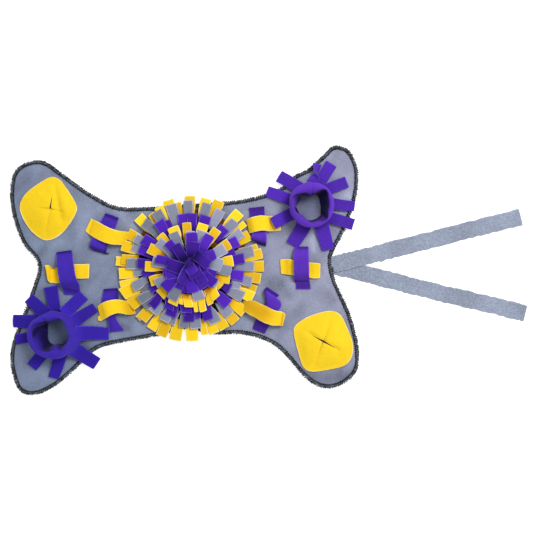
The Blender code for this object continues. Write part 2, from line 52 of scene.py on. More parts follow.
# Cloth and seats
GAP = 0.3                 # clearance between two sewn pieces
FLEECE = 2.2              # thickness of a cut strip of fleece
BASE_TOP = 3.2            # upper face of the base cloth
SEAT = BASE_TOP + GAP     # underside of what is sewn on the base
SEWN = SEAT + FLEECE / 2  # middle of a strip that is sewn on the base
BASE_CELL = 6             # a cell of the base's mesh
BASE_HALF = (312, 216)    # half the base's reach in x and y, in whole cells
CALM_RIM = 9              # how far in from its rim the base is even

# Overlocked edge: thread that wraps the base's rim, which it presses thinner
EDGE_WALL = 1.5           # thickness beyond the cloth's edge
EDGE_REACH = 6          # how far it covers the cloth, above and below
EDGE_TOP = 4.6
RIM_LIFT = 1.2            # how high it lifts the rim of the cloth
PACKED = 1100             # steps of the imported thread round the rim
STITCHES = 560            # threads that wrap it
STITCH_STEPS = 4          # steps along the rim for each of them
THREAD = 0.62             # half thickness of a thread
CHAIN_DEPTH = 6.5         # how far in from the rim the needle thread runs
THREAD_SIDES = 4
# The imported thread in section: inwards, height
EDGE_SECTION = (
    (6, 0.1), (4, 0), (1.8, 0.1), (0.5, 0.9), (0, 2.3), (0.5, 3.7), (1.9, 4.3), (4, 4.3), (5.6, 4),
    (6.1, 3.6), (3.6, 3.5), (1.6, 3.45), (1.5, 2.2), (1.6, 0.95), (3.6, 0.9),
)
# Stations of a thread that wraps the rim: inwards, height, ahead, way outwards, way upwards, how pale:
# # a painted highlight where it runs over the top
WRAP = (
    (6.9, 3.7, -1.5, 0.2, 0.9, 0), (4.6, 4.8, -0.7, 0.1, 1, 0.8), (2, 4.9, 0.4, 0.4, 0.9, 1),
    (0.2, 3.7, 1.1, 0.8, 0.6, 0.1), (-0.6, 2.3, 1.4, 1, 0, 0), (0.3, 0.7, 1.5, 0.7, -0.6, 0),
)
# Stations of a dark link of the needle thread: half thickness, height
LINK = ((0.3, 3.5), (0.95, 4.3), (0.95, 4.3), (0.3, 3.5))
# Outline of the overlocked edge, clockwise from the top-left lobe: x, y
OUTLINE_STEPS = 8         # steps from one row to the next
OUTLINE = (
    (-314.1, 131), (-306.3, 169), (-283.5, 185.5), (-255.5, 187), (-227.5, 169), (-182.7, 136.5),
    (-129, 108.5), (-70, 106.8), (14, 112.7), (101.5, 121.8), (159.3, 140.9), (182.7, 161.7), (206.5, 173.6),
    (231.9, 196.7), (251, 213.5), (275.6, 208.3), (292.3, 178.5), (293.1, 136.5), (271.3, 66.5), (248.5, 21),
    (251.1, -10.5), (282.3, -85.8), (295.6, -147), (291.4, -180.3), (267.8, -203), (238, -210), (209, -198.3),
    (148.8, -135.8), (96.3, -116.6), (38.5, -115.5), (-5.3, -106.4), (-56, -119), (-122.5, -130.9),
    (-162.9, -142.5), (-205.1, -181.8), (-239.8, -209.1), (-271.3, -221.9), (-295.8, -216.3), (-312.4, -175),
    (-311.5, -137), (-277.7, -43.8), (-265.7, 7), (-290.5, 41.1), (-308, 85.8),
)

# Pockets: centre, outline of the sewn-down panel, arms of its slit (angle, length, half opening), dome
POCKETS = {
    "pocket_top_left": (
        (-242.4, 104.1),
        (
            (-297, 110.3), (-288.8, 127.8), (-262.5, 148.8), (-241.5, 159.3), (-227.5, 154.9),
            (-214.4, 138.3), (-197.8, 110.3), (-196.9, 99.8), (-218.8, 64.8), (-240.6, 49.5), (-256.4, 49),
            (-279.1, 66.5), (-295.8, 96.3),
        ),
        ((81, 23, 1.2), (174, 13, 0.45), (262, 6, 0.3), (343, 17, 0.45)), 9,
    ),
    "pocket_bottom_right": (
        (232.8, -127.8),
        (
            (245, -74.6), (262, -80.5), (274.6, -103.3), (285.3, -134.8), (282.3, -156.6), (272.3, -169.2),
            (241.5, -178), (209, -180.8), (197.8, -173.3), (190.4, -152.3), (181.7, -117.3), (182, -103.3),
            (193.6, -92.1), (214.4, -81.7),
        ),
        ((61, 16, 0.4), (152.5, 25, 1.7), (249, 27, 0.55), (331, 27, 1.7)), 9.5,
    ),
}
# Creases of a pocket: x1, y1, x2, y2, half width, depth. A negative depth is a ridge.
CREASES = {
    "pocket_top_left": (
        (-243, 102, -252, 62, 4, 2.2), (-224, 150, -213, 92, 6, -1.8), (-235.5, 144, -224, 84, 5, 3),
        (-262, 104, -222, 98, 2.6, 1.2), (-290, 100, -262, 114, 7, 1.2), (-243, 126, -264, 148, 6, 1.2),
        (-256, 92, -278, 78, 7, -1.2),
    ),
    "pocket_bottom_right": (
        (207, -113, 258, -142, 3.6, 2), (234, -126, 245, -84, 4, 2.4), (230, -134, 216, -172, 3.6, 2.3),
        (256, -146, 272, -166, 6, 1.6), (212, -118, 190, -104, 6, 1.2), (252, -108, 262, -88, 6, -1.6),
        (262, -132, 280, -140, 6, -1.2), (204, -140, 196, -164, 7, -1.2),
    ),
}
# How much more its cut edge frays, on its upper and its lower side
FRAYED_SIDES = {"pocket_top_left": (0, 1.8), "pocket_bottom_right": (0.1, 0.3)}

# Cups: soft rolled collars of doubled fleece. The foot is an ellipse sewn on the base. Round the
# rim the roll leans in and out, so each row gives its widest line, its crest and its inner lip.
# Foot x, foot y, foot radius x, foot radius y, rim x, rim y
CUP_FEET = {
    "cup_bottom_left": (-231, -113, 26, 29, -231, -116),
    "cup_top_right": (209, 108, 27, 27, 211, 109),
}
CUP_HEIGHT = 38.5
# The rim, one row every 22.5 degrees: widest, its height, crest, lip, its height, roundness, floor,
# then how deep in shade the inside is just under the rim and down by the floor
COLLARS = {
    "cup_bottom_left": (
        (44, 9, 27, 24.4, 34, 0, 22, 0.2, 0.5), (44, 9, 25.5, 22.4, 34, 0, 20, 0.2, 0.5),
        (41, 10, 27.5, 24.6, 34, 0.1, 20.5, 0.2, 0.5), (41, 18, 31.5, 28.8, 33, 0.4, 24, 0.3, 0.7),
        (41, 27, 33, 24.2, 31, 0.8, 25, 0.6, 1), (41, 29, 33.5, 22.4, 29, 1, 24, 0.9, 1),
        (43, 31, 37, 28, 29, 1, 24.5, 0.5, 1), (47, 32, 43, 39.5, 34, 1, 20, 0.05, 0.8),
        (47, 32, 41.5, 36.3, 34, 1, 17.6, 0.25, 1), (46, 32, 40.5, 35.2, 34, 1, 19.5, 0.15, 1),
        (44, 32, 39.5, 35.6, 34, 1, 21, 0.3, 1), (42, 31, 35, 26.1, 32, 1, 20, 0.85, 1),
        (41, 31, 32, 17.6, 29, 0.9, 17, 0, 0.3), (41, 28, 31, 23.2, 30, 0.7, 20, 0.5, 0.9),
        (41, 18, 28, 24.3, 33, 0.3, 21, 0.3, 0.6), (44, 10, 26.5, 23.5, 34, 0.1, 21, 0.2, 0.5),
    ),
    "cup_top_right": (
        (39.5, 32, 34.5, 29.2, 33, 1, 19, 1, 1), (39.5, 32, 35, 30.4, 33, 1, 19, 1, 1),
        (39.5, 32, 37, 34.6, 32, 1, 21.5, 1, 1), (39.5, 31, 31, 20.6, 29, 1, 23, 0.9, 1),
        (39, 31, 30, 15.8, 28, 1, 22, 0.9, 1), (39, 31, 30, 16.9, 28, 1, 22, 0.9, 1),
        (39.5, 31, 33, 23, 28.5, 1, 21, 0.9, 0.9), (39.5, 31, 36.5, 32.6, 33, 1, 19, 0.1, 0.6),
        (38, 31, 33.5, 29.6, 35, 1, 23, 0, 0.3), (38.5, 31, 33, 28.6, 35, 1, 29.5, 0, 0.3),
        (39, 31, 32, 24.2, 34, 1, 25.5, 0.1, 0.3), (39.5, 31, 32, 25.2, 33, 1, 26.5, 0.2, 0.4),
        (39.5, 32, 34.5, 29.8, 32, 1, 31, 0.3, 0.6), (39.5, 32, 34.5, 29.8, 33, 1, 28, 0.5, 0.9),
        (40, 32, 38, 36.8, 33, 1, 26, 0.8, 1), (39.5, 32, 34.8, 29.6, 33, 1, 20.5, 0.95, 1),
    ),
}
# Painted shade in creases inside: angle 1, depth 1, angle 2, depth 2, half width, strength
ROLL = 150              # a collar's depth, from foot to foot over its rim, as the creases count it
INNER_CREASE_SHADE = {
    "cup_bottom_left": (
        (180, 103.5, 140, 135, 7, 0.9), (156, 95.25, 118, 96, 5, 0.9), (250, 93, 228, 135, 8, 0.5),
        (292, 99, 300, 135, 6, 0.6),
    ),
    "cup_top_right": ((160, 96, 112, 96, 5, 0.9), (48, 90, 40, 135, 7, 0.5)),
}
# Folds down the inside of a collar: angle, half width in degrees, how far it pushes in
INNER_FOLDS = {
    "cup_bottom_left": ((152, 12, 2.4), (214, 16, 1.4)),
    "cup_top_right": ((170, 12, 1.2), (236, 12, 1)),
}
# The crease of a collar's seam: its angle, its slant down the outside, its depth, the bulge beside it
COLLAR_SEAMS = {"cup_bottom_left": (126, 24, 2.4, 2.2), "cup_top_right": (86, 0, 1.7, 0.5)}
# Tabs round each cup. A tab starts inside the collar and runs along its heading to its tip: tip x,
# tip y, heading, root width, tip width, length, root height, mid height, tip height, twist
SKIRT_TABS = {
    "cup_bottom_left": (
        (-309, -92.4, 180, 24, 22.5, 48, 6, 8.6, 6.8, 0), (-304, -124.5, 191.5, 20, 17.5, 46, 6, 8.2, 6.8, 0),
        (-276.1, -172.8, 231, 22, 20.5, 46, 6, 7.6, 5.4, 0),
        (-238.1, -192.2, 254, 25, 19, 50, 6, 7.6, 5.4, 6),
        (-161.2, -167.4, 326, 27, 23.5, 52, 24, 10, 6.8, -4),
        (-141, -114.6, 359.5, 27, 21.5, 56, 27, 9.5, 5.4, 0), (-164.3, -69, 34, 23.5, 18, 44, 19, 11, 8.2, 5),
        (-185, -47, 45, 23, 22, 46, 22, 11, 6.6, -3), (-242.4, -31.7, 102, 19, 25.5, 50, 12, 10, 5.6, 4),
        (-281.7, -52.3, 136, 24, 20, 48, 8, 9, 6, -5),
    ),
    "cup_top_right": (
        (155.2, 160.6, 149, 22, 21.6, 50, 6, 8.6, 6.8, 3), (134.6, 133.8, 159.5, 21, 19, 50, 6, 8.2, 6.6, 0),
        (144.6, 76.9, 207, 22, 22, 50, 6, 11, 14.2, 0), (178.4, 39.8, 240, 27, 23.6, 50, 6, 8.2, 5.6, 5),
        (241.9, 31.2, 286, 27, 22, 54, 6, 8.2, 5.6, -5), (285.6, 75.7, 343, 20, 20.3, 52, 6, 8.6, 6.8, 4),
        (288, 107.6, 352.5, 21, 18, 50, 6, 8.2, 6, 0), (274.4, 150.3, 21, 20.5, 20.5, 50, 6, 8.6, 5.6, 0),
        (247.3, 182.2, 58, 21, 21.4, 54, 6, 8.6, 5.6, -3), (222.5, 182, 78, 20, 18, 46, 8, 12, 8, 150),
    ),
}
# Tabs in a collar's shade, by heading: how far along they are dark
SHADED = {207: 0.8, 240: 0.65, 286: 0.5, 159.5: 0.55}

# Crossed straps: how much paler or darker the whole strap is, its painted shade and highlights at folds,
# # curls and edges (x1, y1, x2, y2, half width, strength), and its rows (edge x, edge y, other edge x, other
# edge y, height)
STRAPS = {
    "loop_top_left_yellow": (
        0.3, ((-167.4, 83.5, -173.8, 62.9, 1.7, -0.8), (-108, 64, -116, 38, 7, -0.5)),
        (
            (-172.4, 86.5, -182.4, 64.9, 0.2), (-167.6, 84.2, -177.1, 59.7, 0.4),
            (-160.4, 81.1, -170.2, 55, 5), (-151.3, 76.3, -159.7, 49.3, 10), (-140.5, 70.6, -148.3, 44.4, 13),
            (-129.5, 66.5, -136, 40.9, 13), (-118.7, 64.2, -126.5, 40.3, 11), (-109.4, 63.4, -118.5, 39.7, 7),
            (-104.6, 61.6, -113.1, 38.7, 3),
        ),
    ),
    "loop_top_left_purple": (
        0.15,
        (
            (-148, 93.4, -123, 84.2, 3, -2.4), (-142.4, 45, -144.6, 27, 2.6, -3.2),
            (-172, 36.5, -143, 25.5, 3.2, -2.4), (-168, 56, -147, 48, 6, 0.4),
        ),
        (
            (-147, 96.5, -122.9, 87.7, 3), (-149.1, 92.9, -124.3, 85.1, 1.5),
            (-152.5, 87.8, -126.7, 78.6, 0.6), (-156.4, 79.9, -130.3, 69.5, 1), (-163.3, 65.5, -137.9, 55, 3),
            (-168.9, 53.7, -142.2, 43.3, 5), (-172.5, 44.5, -143.2, 35.4, 7),
            (-173.8, 36.7, -145.1, 27.3, 5.5), (-170, 32.2, -143.9, 24.8, 2), (-166.9, 30, -139.7, 24.8, 0.6),
        ),
    ),
    "loop_left_purple": (
        0,
        (
            (-231.5, 26.4, -204, 29.4, 2.6, -2.6), (-220, -29.5, -193, -29, 7, -0.8),
            (-220.5, -35, -192.5, -40.2, 1.7, -1.3), (-216, -6, -214, 14, 5, 0.3),
        ),
        (
            (-232.8, 27.8, -206.1, 31.3, 2.5), (-232.4, 20.8, -203.7, 23.6, 4), (-231, 9.5, -201.4, 12.3, 10),
            (-229.5, -1.7, -199.5, 1.1, 13), (-227.5, -14.3, -197.7, -11.5, 13),
            (-225.7, -25.5, -194.9, -21.3, 11.5), (-223.6, -31.2, -191.5, -29.4, 9),
            (-220.9, -36.8, -191, -38.2, 5), (-220.6, -41.1, -194, -42.8, 1.2),
            (-219.6, -46.3, -200.6, -46.9, 0.2),
        ),
    ),
    "loop_left_yellow": (
        0.35,
        (
            (-241.5, 1.6, -236.5, -0.2, 2, -5), (-233, -2, -231, -24, 5, -0.8),
            (-249, -2, -246.5, -20, 2.4, -0.5),
        ),
        (
            (-252, 5, -247.1, -20.7, 5), (-247, 5, -244.9, -24.2, 5.5), (-243.9, 3.2, -243.3, -25.9, 1),
            (-237.9, 0.8, -235.8, -26.6, 1), (-231.5, 1.1, -228.6, -26.3, 2),
            (-216.4, 3.2, -213.6, -23.5, 3.5), (-200.4, 6.7, -197.6, -19.3, 3),
            (-187.9, 7, -186.5, -18.9, 1.5), (-175, 7.4, -175.8, -18.3, 0.5),
        ),
    ),
    "loop_bottom_left_yellow": (
        0.55, ((-107, -55, -102, -82, 13.5, -1.7), (-158, -76, -153, -90, 4.5, -0.5)),
        (
            (-160.9, -67.2, -154.5, -91.2, 1), (-157, -63.6, -149.2, -89.6, 4),
            (-149.8, -59.6, -142.8, -85.9, 10), (-139.7, -56.1, -134.1, -81.3, 13),
            (-129.9, -54.7, -125.7, -78.8, 13), (-121.6, -55, -118.1, -79.1, 12),
            (-113, -56.6, -108.2, -81.4, 8.5), (-106.4, -58.6, -100.6, -81.3, 4.5),
            (-99.6, -61.5, -94, -79.8, 1.2),
        ),
    ),
    "loop_bottom_left_purple": (
        0,
        (
            (-149, -38, -125, -36.4, 3, -2.2), (-125.5, -37, -125.5, -53, 3.6, -1.8),
            (-147, -50, -139, -51, 4, 0.7), (-140, -90, -137, -108, 4, -0.8),
            (-125, -88, -117.5, -102, 2.4, 1),
        ),
        (
            (-150.4, -36.6, -125.8, -34.9, 2.5), (-151.4, -41, -124.6, -39.3, 1.5),
            (-154.1, -57.6, -124.3, -55, 1), (-151.3, -71.5, -126, -69.8, 2.5),
            (-144.3, -87.5, -128.1, -84.7, 4), (-142.4, -94.5, -125.2, -93.8, 5),
            (-141.5, -103, -119, -101.6, 4), (-140.8, -112.2, -114.4, -108.7, 1.5),
        ),
    ),
    "loop_top_right_purple": (
        0,
        ((100, 103, 132, 104, 15, -1.7), (107.5, 47.6, 133.5, 40.2, 4, -3.6), (119, 58.5, 131, 61, 5, 0.7)),
        (
            (102.4, 104.6, 130, 107.3, 3), (103.8, 101.4, 130.4, 104.1, 1.5), (104.5, 93.5, 130.6, 96.1, 1),
            (106.1, 78.8, 132.6, 81.4, 3), (109.4, 61.4, 134, 64.7, 6), (107.9, 54.7, 134.4, 56.1, 8.5),
            (106.8, 50.1, 134.4, 48.2, 7), (113.4, 46.3, 133.6, 41.6, 3), (118.9, 42.3, 133, 37.9, 1),
        ),
    ),
    "loop_top_right_yellow": (
        0.6, ((138, 90, 141, 64, 2.2, -1.1), (100, 86, 106, 60, 6.5, -0.8), (150, 90, 152, 64, 6, -0.6)),
        (
            (98.8, 84.7, 104.1, 60.2, 3), (103.5, 86.5, 109.2, 61.4, 8), (109.5, 88.7, 114.8, 62.8, 12),
            (118.8, 90.7, 122.8, 64.5, 13.5), (128, 91.6, 130.7, 64.9, 13), (134.6, 91, 136.6, 64, 9),
            (141.3, 90.5, 143.9, 63.9, 2.5), (149.2, 90.6, 151.2, 64.5, 0.5), (157.9, 90.2, 159.2, 65.6, 0.3),
        ),
    ),
    "loop_right_yellow": (0.35, ((170, 16, 171, -12, 4.2, -0.9),), (
        (157.6, 15.2, 159.1, -10.4, 0.3), (166.3, 15.7, 167.1, -11.3, 1.5), (175.5, 15.2, 176.3, -12.3, 3),
        (187.7, 13.7, 188.5, -13.9, 4), (198.4, 11.7, 199.2, -15.4, 3.5), (209.2, 9.9, 210, -17.4, 2),
        (218.4, 9.1, 218.4, -18.5, 2.5), (228.1, 8.3, 227.6, -17.7, 1),
    )),
    "loop_right_purple": (
        -0.35,
        (
            (183, 26, 206, 27, 8, 0.7), (191, 35, 207, 35.2, 3.2, -1.8), (182, -17, 209, -16.5, 7, -0.6),
            (182, -22.6, 209, -22.2, 1.6, -1.6), (184, -31, 211, -30.5, 7, -1.5),
        ),
        (
            (183.2, 37.1, 206.9, 37.7, 2), (181.6, 32.8, 207.3, 33.1, 3), (180.7, 20.5, 207.8, 21.3, 9),
            (180.8, 8.3, 208.1, 9, 13), (181.1, -5.4, 208.3, -4.7, 13), (181.5, -14.6, 208.5, -13.8, 10),
            (181.7, -20.7, 208.8, -20.4, 5), (182.4, -23.5, 209.2, -23.5, 1),
            (184.7, -26.9, 209.9, -26.1, 0.4), (185.7, -37.3, 210.9, -36.7, 0.3),
        ),
    ),
    "loop_bottom_right_yellow": (
        0.2, ((92, -60, 126, -78, 20, -1.6), (162.6, -79.5, 158.7, -100, 1.6, -1.9)),
        (
            (95.2, -54.2, 85.9, -71.4, 2), (103.2, -55.4, 95.3, -75.9, 7), (112.5, -56.9, 104.6, -81.1, 11),
            (124.5, -62.1, 116.5, -88, 13), (136.4, -67.8, 127.1, -93.6, 13),
            (146.9, -72.7, 137.7, -98.2, 12.5), (154.9, -75.1, 148.2, -100.2, 11),
            (160.8, -75.9, 156.5, -100.6, 9), (166.4, -79.9, 160.9, -101.2, 6.5),
            (164.9, -80.7, 160, -100.6, 3.5),
        ),
    ),
    "loop_bottom_right_purple": (
        0.3,
        (
            (132, -35.2, 154, -50.4, 3, -3.4), (136.5, -43.5, 156.5, -57, 2.6, 1),
            (130, -40, 133, -62, 2.2, -3.2), (110, -99, 138, -108, 15, -2.2),
        ),
        (
            (134.4, -32.6, 156.4, -47.4, 3), (129.6, -38, 151.4, -53, 7), (131.2, -46.3, 158.2, -57.6, 7),
            (132.4, -56.2, 159.8, -66.6, 5.5), (130.5, -64.5, 154, -75, 4), (120.8, -78.4, 143.4, -87.4, 3.5),
            (115.6, -89, 139.3, -98.6, 2), (112.1, -97.8, 134.8, -107.4, 0.8),
            (109.1, -106.3, 131.1, -114.7, 0.3),
        ),
    ),
}
# The small folded end beside one strap: its x, then y and half width along it
KNOB_X = -156.4
KNOB = ((-83.8, 3.2), (-86, 4.5), (-90, 4.5), (-92.4, 3))

# Rosette: each tier is an upright ring strip, and its tabs fan out over the tier before it
TIER_SLOPE = 0.11         # fall of the tabs for each millimetre outwards
TIER_FIRST = 21.1         # where the first tier's slope would meet the axis
TIER_PITCH = 5.4          # from one tier up to the next
OVER = 2.7                # how much higher a tab lies that is over its neighbours
FLARE = 0.16              # how far a ring strip leans out at its top, as a share of its radius
TUCK = 7                  # length of a tab inside its ring strip
INNER_TIER = 6            # the tuft's inner tabs are those of this tier and on, counted from 0
# Tint, strip radius, lean x, root width, tabs (angle, reach, width, over, turn off its radius if any)
TIERS = {
    "rosette_tier_1": ("yellow", 88, 0.4, 12.4, (
        (1.4, 129, 20, 0), (11.6, 129, 19, 1), (17, 124, 14, 0), (29, 119, 20, 0), (39, 124, 12, 1),
        (48.4, 131, 20, 0), (66.4, 128, 20, 0), (76.5, 125, 19, 1), (90, 126, 20, 0), (99.9, 117, 10, 0),
        (107.9, 125, 20, 0), (117.2, 120, 17, 1), (125.6, 117, 14, 0), (135.3, 127, 20, 0),
        (150.8, 125, 20, 0), (161.3, 125, 20, 1), (172.6, 121, 18, 1), (174.5, 130, 17, 0),
        (184.6, 124, 20, 1), (194, 126, 16, 0), (201.3, 127, 23, 1, 15), (212, 123, 23, 1, 8),
        (224.2, 127, 12, 0), (227, 123, 20, 1, 7), (237.6, 127, 19, 0), (247, 129, 20, 1),
        (258.3, 129, 22, 0), (272, 128, 22, 0), (283, 120, 12, 1), (290.5, 122, 19, 0), (300, 122, 19, 1),
        (310, 124, 20, 0), (321, 123, 20, 1), (335, 122, 20, 1), (342, 122, 14, 0), (351.5, 125, 19, 1),
    )),
    "rosette_tier_2": ("grey", 77, 0.8, 12.8, (
        (1.3, 112, 18, 0), (15.2, 115, 20, 0), (34.5, 110, 18, 0), (45.7, 114, 19, 0), (62, 114, 18, 0),
        (75, 117, 17, 0), (91.6, 118, 17, 0), (106.9, 116, 20, 0), (121, 115, 19, 0), (135, 113.5, 18, 0, 10),
        (151, 109, 17, 1), (159.6, 107, 16, 0), (176, 110, 19, 1), (185, 99, 14, 0), (198.6, 105, 18, 1),
        (203.8, 94, 12, 0), (212.9, 105, 17, 1), (221.2, 105, 14, 0), (230.5, 101, 19, 1),
        (244.2, 103, 19, 1), (252.5, 104, 11, 0), (264, 105, 18, 0), (276, 106, 20, 0), (295.2, 106, 22, 0),
        (309.8, 108, 20, 0), (331.2, 106, 20, 0), (339.5, 94, 12, 0), (346.8, 111, 18, 0),
    )),
    "rosette_tier_3": ("purple", 64, 1.3, 14.4, (
        (10.3, 96, 18, 0), (20, 83, 14, 0), (29.4, 96, 20, 0), (49, 93, 20, 0), (72.9, 95, 20, 0),
        (87.3, 95, 18, 1), (98, 95, 18, 0), (116.8, 92, 12, 0), (124, 98, 19, 1), (147.7, 96, 19, 1),
        (159.5, 95, 17, 0), (174.6, 92, 18, 1), (187, 84, 12, 0), (208.6, 79, 15, 0), (225.1, 95, 17, 0),
        (243, 81, 18, 1), (247.5, 91, 20, 0), (266, 78, 20, 1), (268.9, 93, 19, 0), (279.2, 89, 10, 0),
        (289.6, 96, 18, 1), (316.1, 92, 20, 0), (333, 79, 18, 1), (351.2, 94, 19, 0),
    )),
    "rosette_tier_4": ("yellow", 52, 1.8, 13.6, (
        (9.5, 76, 20, 0), (31.9, 81, 20, 0), (54.8, 82, 17, 0), (72.6, 80, 19, 1), (94.4, 79, 16, 0),
        (112.9, 77, 20, 1), (132.9, 78, 17, 0), (154, 79, 19, 1), (177.8, 78, 18, 0), (198.9, 73, 18, 0),
        (222.3, 70, 20, 0), (244.6, 70, 18, 1), (256, 65, 10, 0), (268.5, 68, 16, 1), (278.4, 77, 8, 0),
        (287.4, 79, 13, 1), (299.6, 73, 12, 0), (311, 70, 17, 1),
    )),
    "rosette_tier_5": ("grey", 38, 2.2, 16, (
        (29.4, 70, 20, 0), (70.6, 68, 20, 0), (89, 64, 16, 1), (115.7, 68, 18, 0), (140, 72, 17, 0),
        (170, 66, 18, 0), (204.6, 66, 17, 0), (239.4, 64, 20, 0), (287.2, 58, 21, 0), (328.5, 55, 14, 0),
    )),
    "rosette_tier_6": ("purple", 27, 2.6),
    "rosette_tier_7": ("purple", 18.5, 3),
    "rosette_tier_8": ("purple", 8, 3.4),
}
# The tuft: tabs that stand up and curl over: tip x, tip y, heading, width, length, root height, crest,
# tip height, roll, curl
TUFT = {
    "rosette_tier_4": (
        (71.1, -19.6, -8, 18, 34, 25, 32, 30.5, 0, 0), (55.9, -33, -43, 16, 30, 25, 31.5, 29.5, 0, 0),
    ),
    "rosette_tier_5": (
        (58.2, 2.9, -20, 23, 30, 33, 42, 40, 0, 0), (73.5, -5.7, -16, 18.5, 44, 31, 38.8, 36.4, 0, 0),
    ),
    "rosette_tier_6": (
        (5.2, 61, 93, 20.5, 42, 34, 47, 47.5, -8, 3), (37.5, 56.5, 61, 18.5, 44, 34, 50, 45, -22, 1),
        (46.6, 24.3, 22, 20, 40, 34, 47, 43, -10, 0), (-36, 45.3, 129, 17.5, 44, 34, 47, 44, 8, 0),
        (-56.8, 15.9, 164, 16, 44, 34, 44.5, 41.5, 0, 1), (-44, -8, 190, 16, 36, 34, 43.5, 41, 0, 0),
        (-42.3, -36, 222, 20.5, 42, 34, 46, 42, 5, 0), (-18, -36, 246, 18, 34, 33, 43, 40.5, 0, 0),
        (8.2, -42.8, 282, 21, 36, 34, 45.5, 42, 0, 0), (28, -35, 303, 19, 34, 33, 43, 40.5, 0, 0),
        (45.8, -27.7, 320, 20, 42, 34, 46, 42, -6, 0), (38, 0, 0, 17, 30, 33, 42.5, 40, 0, 0),
        (-6, -43, 264, 18, 34, 32, 41, 38.5, 0, 0), (47, -14, -18, 19, 34, 33, 42.5, 40, 0, 0),
    ),
    "rosette_tier_7": (
        (27.5, 26.5, 53, 21, 28, 40, 54, 50.5, 0, 0), (10.6, 44.8, 84, 23, 30, 40, 53.5, 55, -6, 1.5),
        (-22.3, 40, 122, 17.5, 34, 40, 55, 50.5, -10, 0), (-35.3, 7, 162, 22, 34, 40, 55, 50, 4, 0),
        (-38.9, -11, 192, 20, 34, 36, 50.5, 46, 0, 0), (-28.6, -22.3, 220, 19, 28, 36, 48.5, 45, 0, 0),
        (-8.9, -29.1, 262, 17, 24, 36, 47.5, 44.5, 0, 0), (27.5, -27.1, 300, 18, 28, 38, 50.5, 47.5, 0, 0),
        (33, -8, 345, 18, 26, 38, 49, 46, 0, 0), (8, 28, 84, 18, 22, 38, 49, 46, 0, 0),
        (12, 14, 40, 19, 26, 40, 50, 48.5, 0, 0), (0, -20, 250, 18, 24, 38, 48, 46.5, 0, 0),
    ),
    "rosette_tier_8": (
        (35.3, 3.5, -37, 18.5, 34, 42, 58.5, 54.5, 6, 0), (15.5, -16.1, 292, 24, 26, 42, 56, 52.5, 0, 0),
        (9.5, -9, 300, 19, 18, 42, 59, 56, 0, 0), (-15.8, -25.7, 237, 19, 36, 42, 56, 50, 62, 0),
    ),
}

# Ties: mid-line x, y and underside
TIE_WIDTH = 29.5
TIES = {
    "tie_lower": (
        (249.2, 4.2, 0), (300, -8.4, 0), (360, -24, 0), (430, -41.6, 0), (510, -60.4, 0), (587, -79.6, 0),
    ),
    "tie_upper": (
        (249.2, 5.6, 2.5), (280, 13.5, 2.5), (314, 22.1, 2.5), (352, 31.8, 0.2), (430, 51.4, 0),
        (510, 71.6, 0), (579, 89.6, 0),
    ),
}

# Soft folds of the mat as it lies: x1, y1, x2, y2, half width, height
FOLD_REACH = 2.6          # a fold ends this many half widths away
FOLDS = (
    (226, 16, 262, -66, 9, 3), (203, -64, 232, -36, 11, 2.4), (150, 92, 168, 52, 9, 2),
    (206, 62, 212, 22, 8, 1.8), (-196, 62, -214, 118, 12, 2.4), (-176, -36, -150, 18, 12, 2.4),
    (-252, -30, -262, 6, 9, 1.8), (160, -126, 196, -80, 9, 2.6), (-120, -118, -178, -140, 10, 1.8),
    (240, 52, 262, 92, 8, 1.8), (-292, 60, -268, 30, 9, 1.8), (-206, 24, -178, 44, 9, 2),
)
# Painted light and shade on the base: paler streaks where its folds catch the light, darker ones where they
# # lose it, and a paler patch that lifts a shadow in one cup: x1, y1, x2, y2, half width, how much paler
PAINTED_LIGHT_STREAKS = (
    (150, 60, 166, 72, 9, -0.7), (176, -46, 190, -38, 10, -0.8), (132, -20, 142, -28, 9, -0.7),
    (-121, -104, -108, -107, 8, -1), (-264, -30, -264, -46, 9, -0.5), (-286, -160, -280, -172, 10, -0.6),
    (268, 157, 284, 119, 13, 1.3), (252, 114, 278, 128, 5, 1.5), (212, 66, 217, 31, 5, 1.6),
    (226, 70, 230, 30, 5, -0.8), (272, 80, 256, 94, 6, 1), (137, 45, 151, -6, 11, 0.5),
    (167, 31, 178, -24, 6, 0.8), (184, -40, 200, -65, 8, 0.1), (156, -20, 172, -50, 7, -0.8),
    (216, -4, 253, -44, 7, 0.7), (244, 28, 246, -20, 4, 0.7), (200, -190, 270, -196, 16, -1.6),
    (-288, 150, -240, 172, 10, -0.8), (-244, 38, -228, 46, 5, 1), (-190, 60, -176, 88, 10, 0.8),
    (-120, 92, -96, 70, 10, 1), (-270, -150, -236, -206, 16, 0.7), (-200, 4, -170, 20, 8, -0.6),
    (-262, 24, -250, 40, 8, -0.8), (-214, -128, -176, -140, 12, -1.4), (150, 70, 168, 60, 9, -0.6),
    (-276, -30, -256, -48, 10, -0.6), (236, 30, 234, 10, 7, -0.5), (-217, -96, -213, -124, 10, 3.6),
)


# ---------------------------------------------------------------- shapes

def clamp(value, low=0, high=1):
    return max(low, min(high, value))


def ease(value):
    """A smooth step from 0 to 1."""
    value = clamp(value)
    return value * value * (3 - 2 * value)


def chance(*numbers):
    """A repeatable uneven value from -1 to 1 for a tab or a stitch."""
    seed = sum(number * weight for number, weight in zip(numbers, (12.9898, 78.233, 37.719)))
    value = math.sin(seed) * 43758.5453
    return (value - math.floor(value)) * 2 - 1


def way_at(angle):
    """The level way at an angle."""
    turn = math.radians(angle)
    return Vector((math.cos(turn), math.sin(turn)))


def right_of(way):
    return Vector((way.y, -way.x))


def off_angle(angle, other):
    """How far an angle is from another one, from -180 to 180."""
    return (angle - other + 180) % 360 - 180


def from_line(x, y, x1, y1, x2, y2):
    """How far a point is from a straight run."""
    run_x, run_y = x2 - x1, y2 - y1
    along = clamp(((x - x1) * run_x + (y - y1) * run_y) / (run_x * run_x + run_y * run_y))
    return math.hypot(x - x1 - run_x * along, y - y1 - run_y * along)


def hump(away, width):
    """A soft hump's share of its height at a distance from its middle."""
    return math.exp(-(away / width) ** 2)


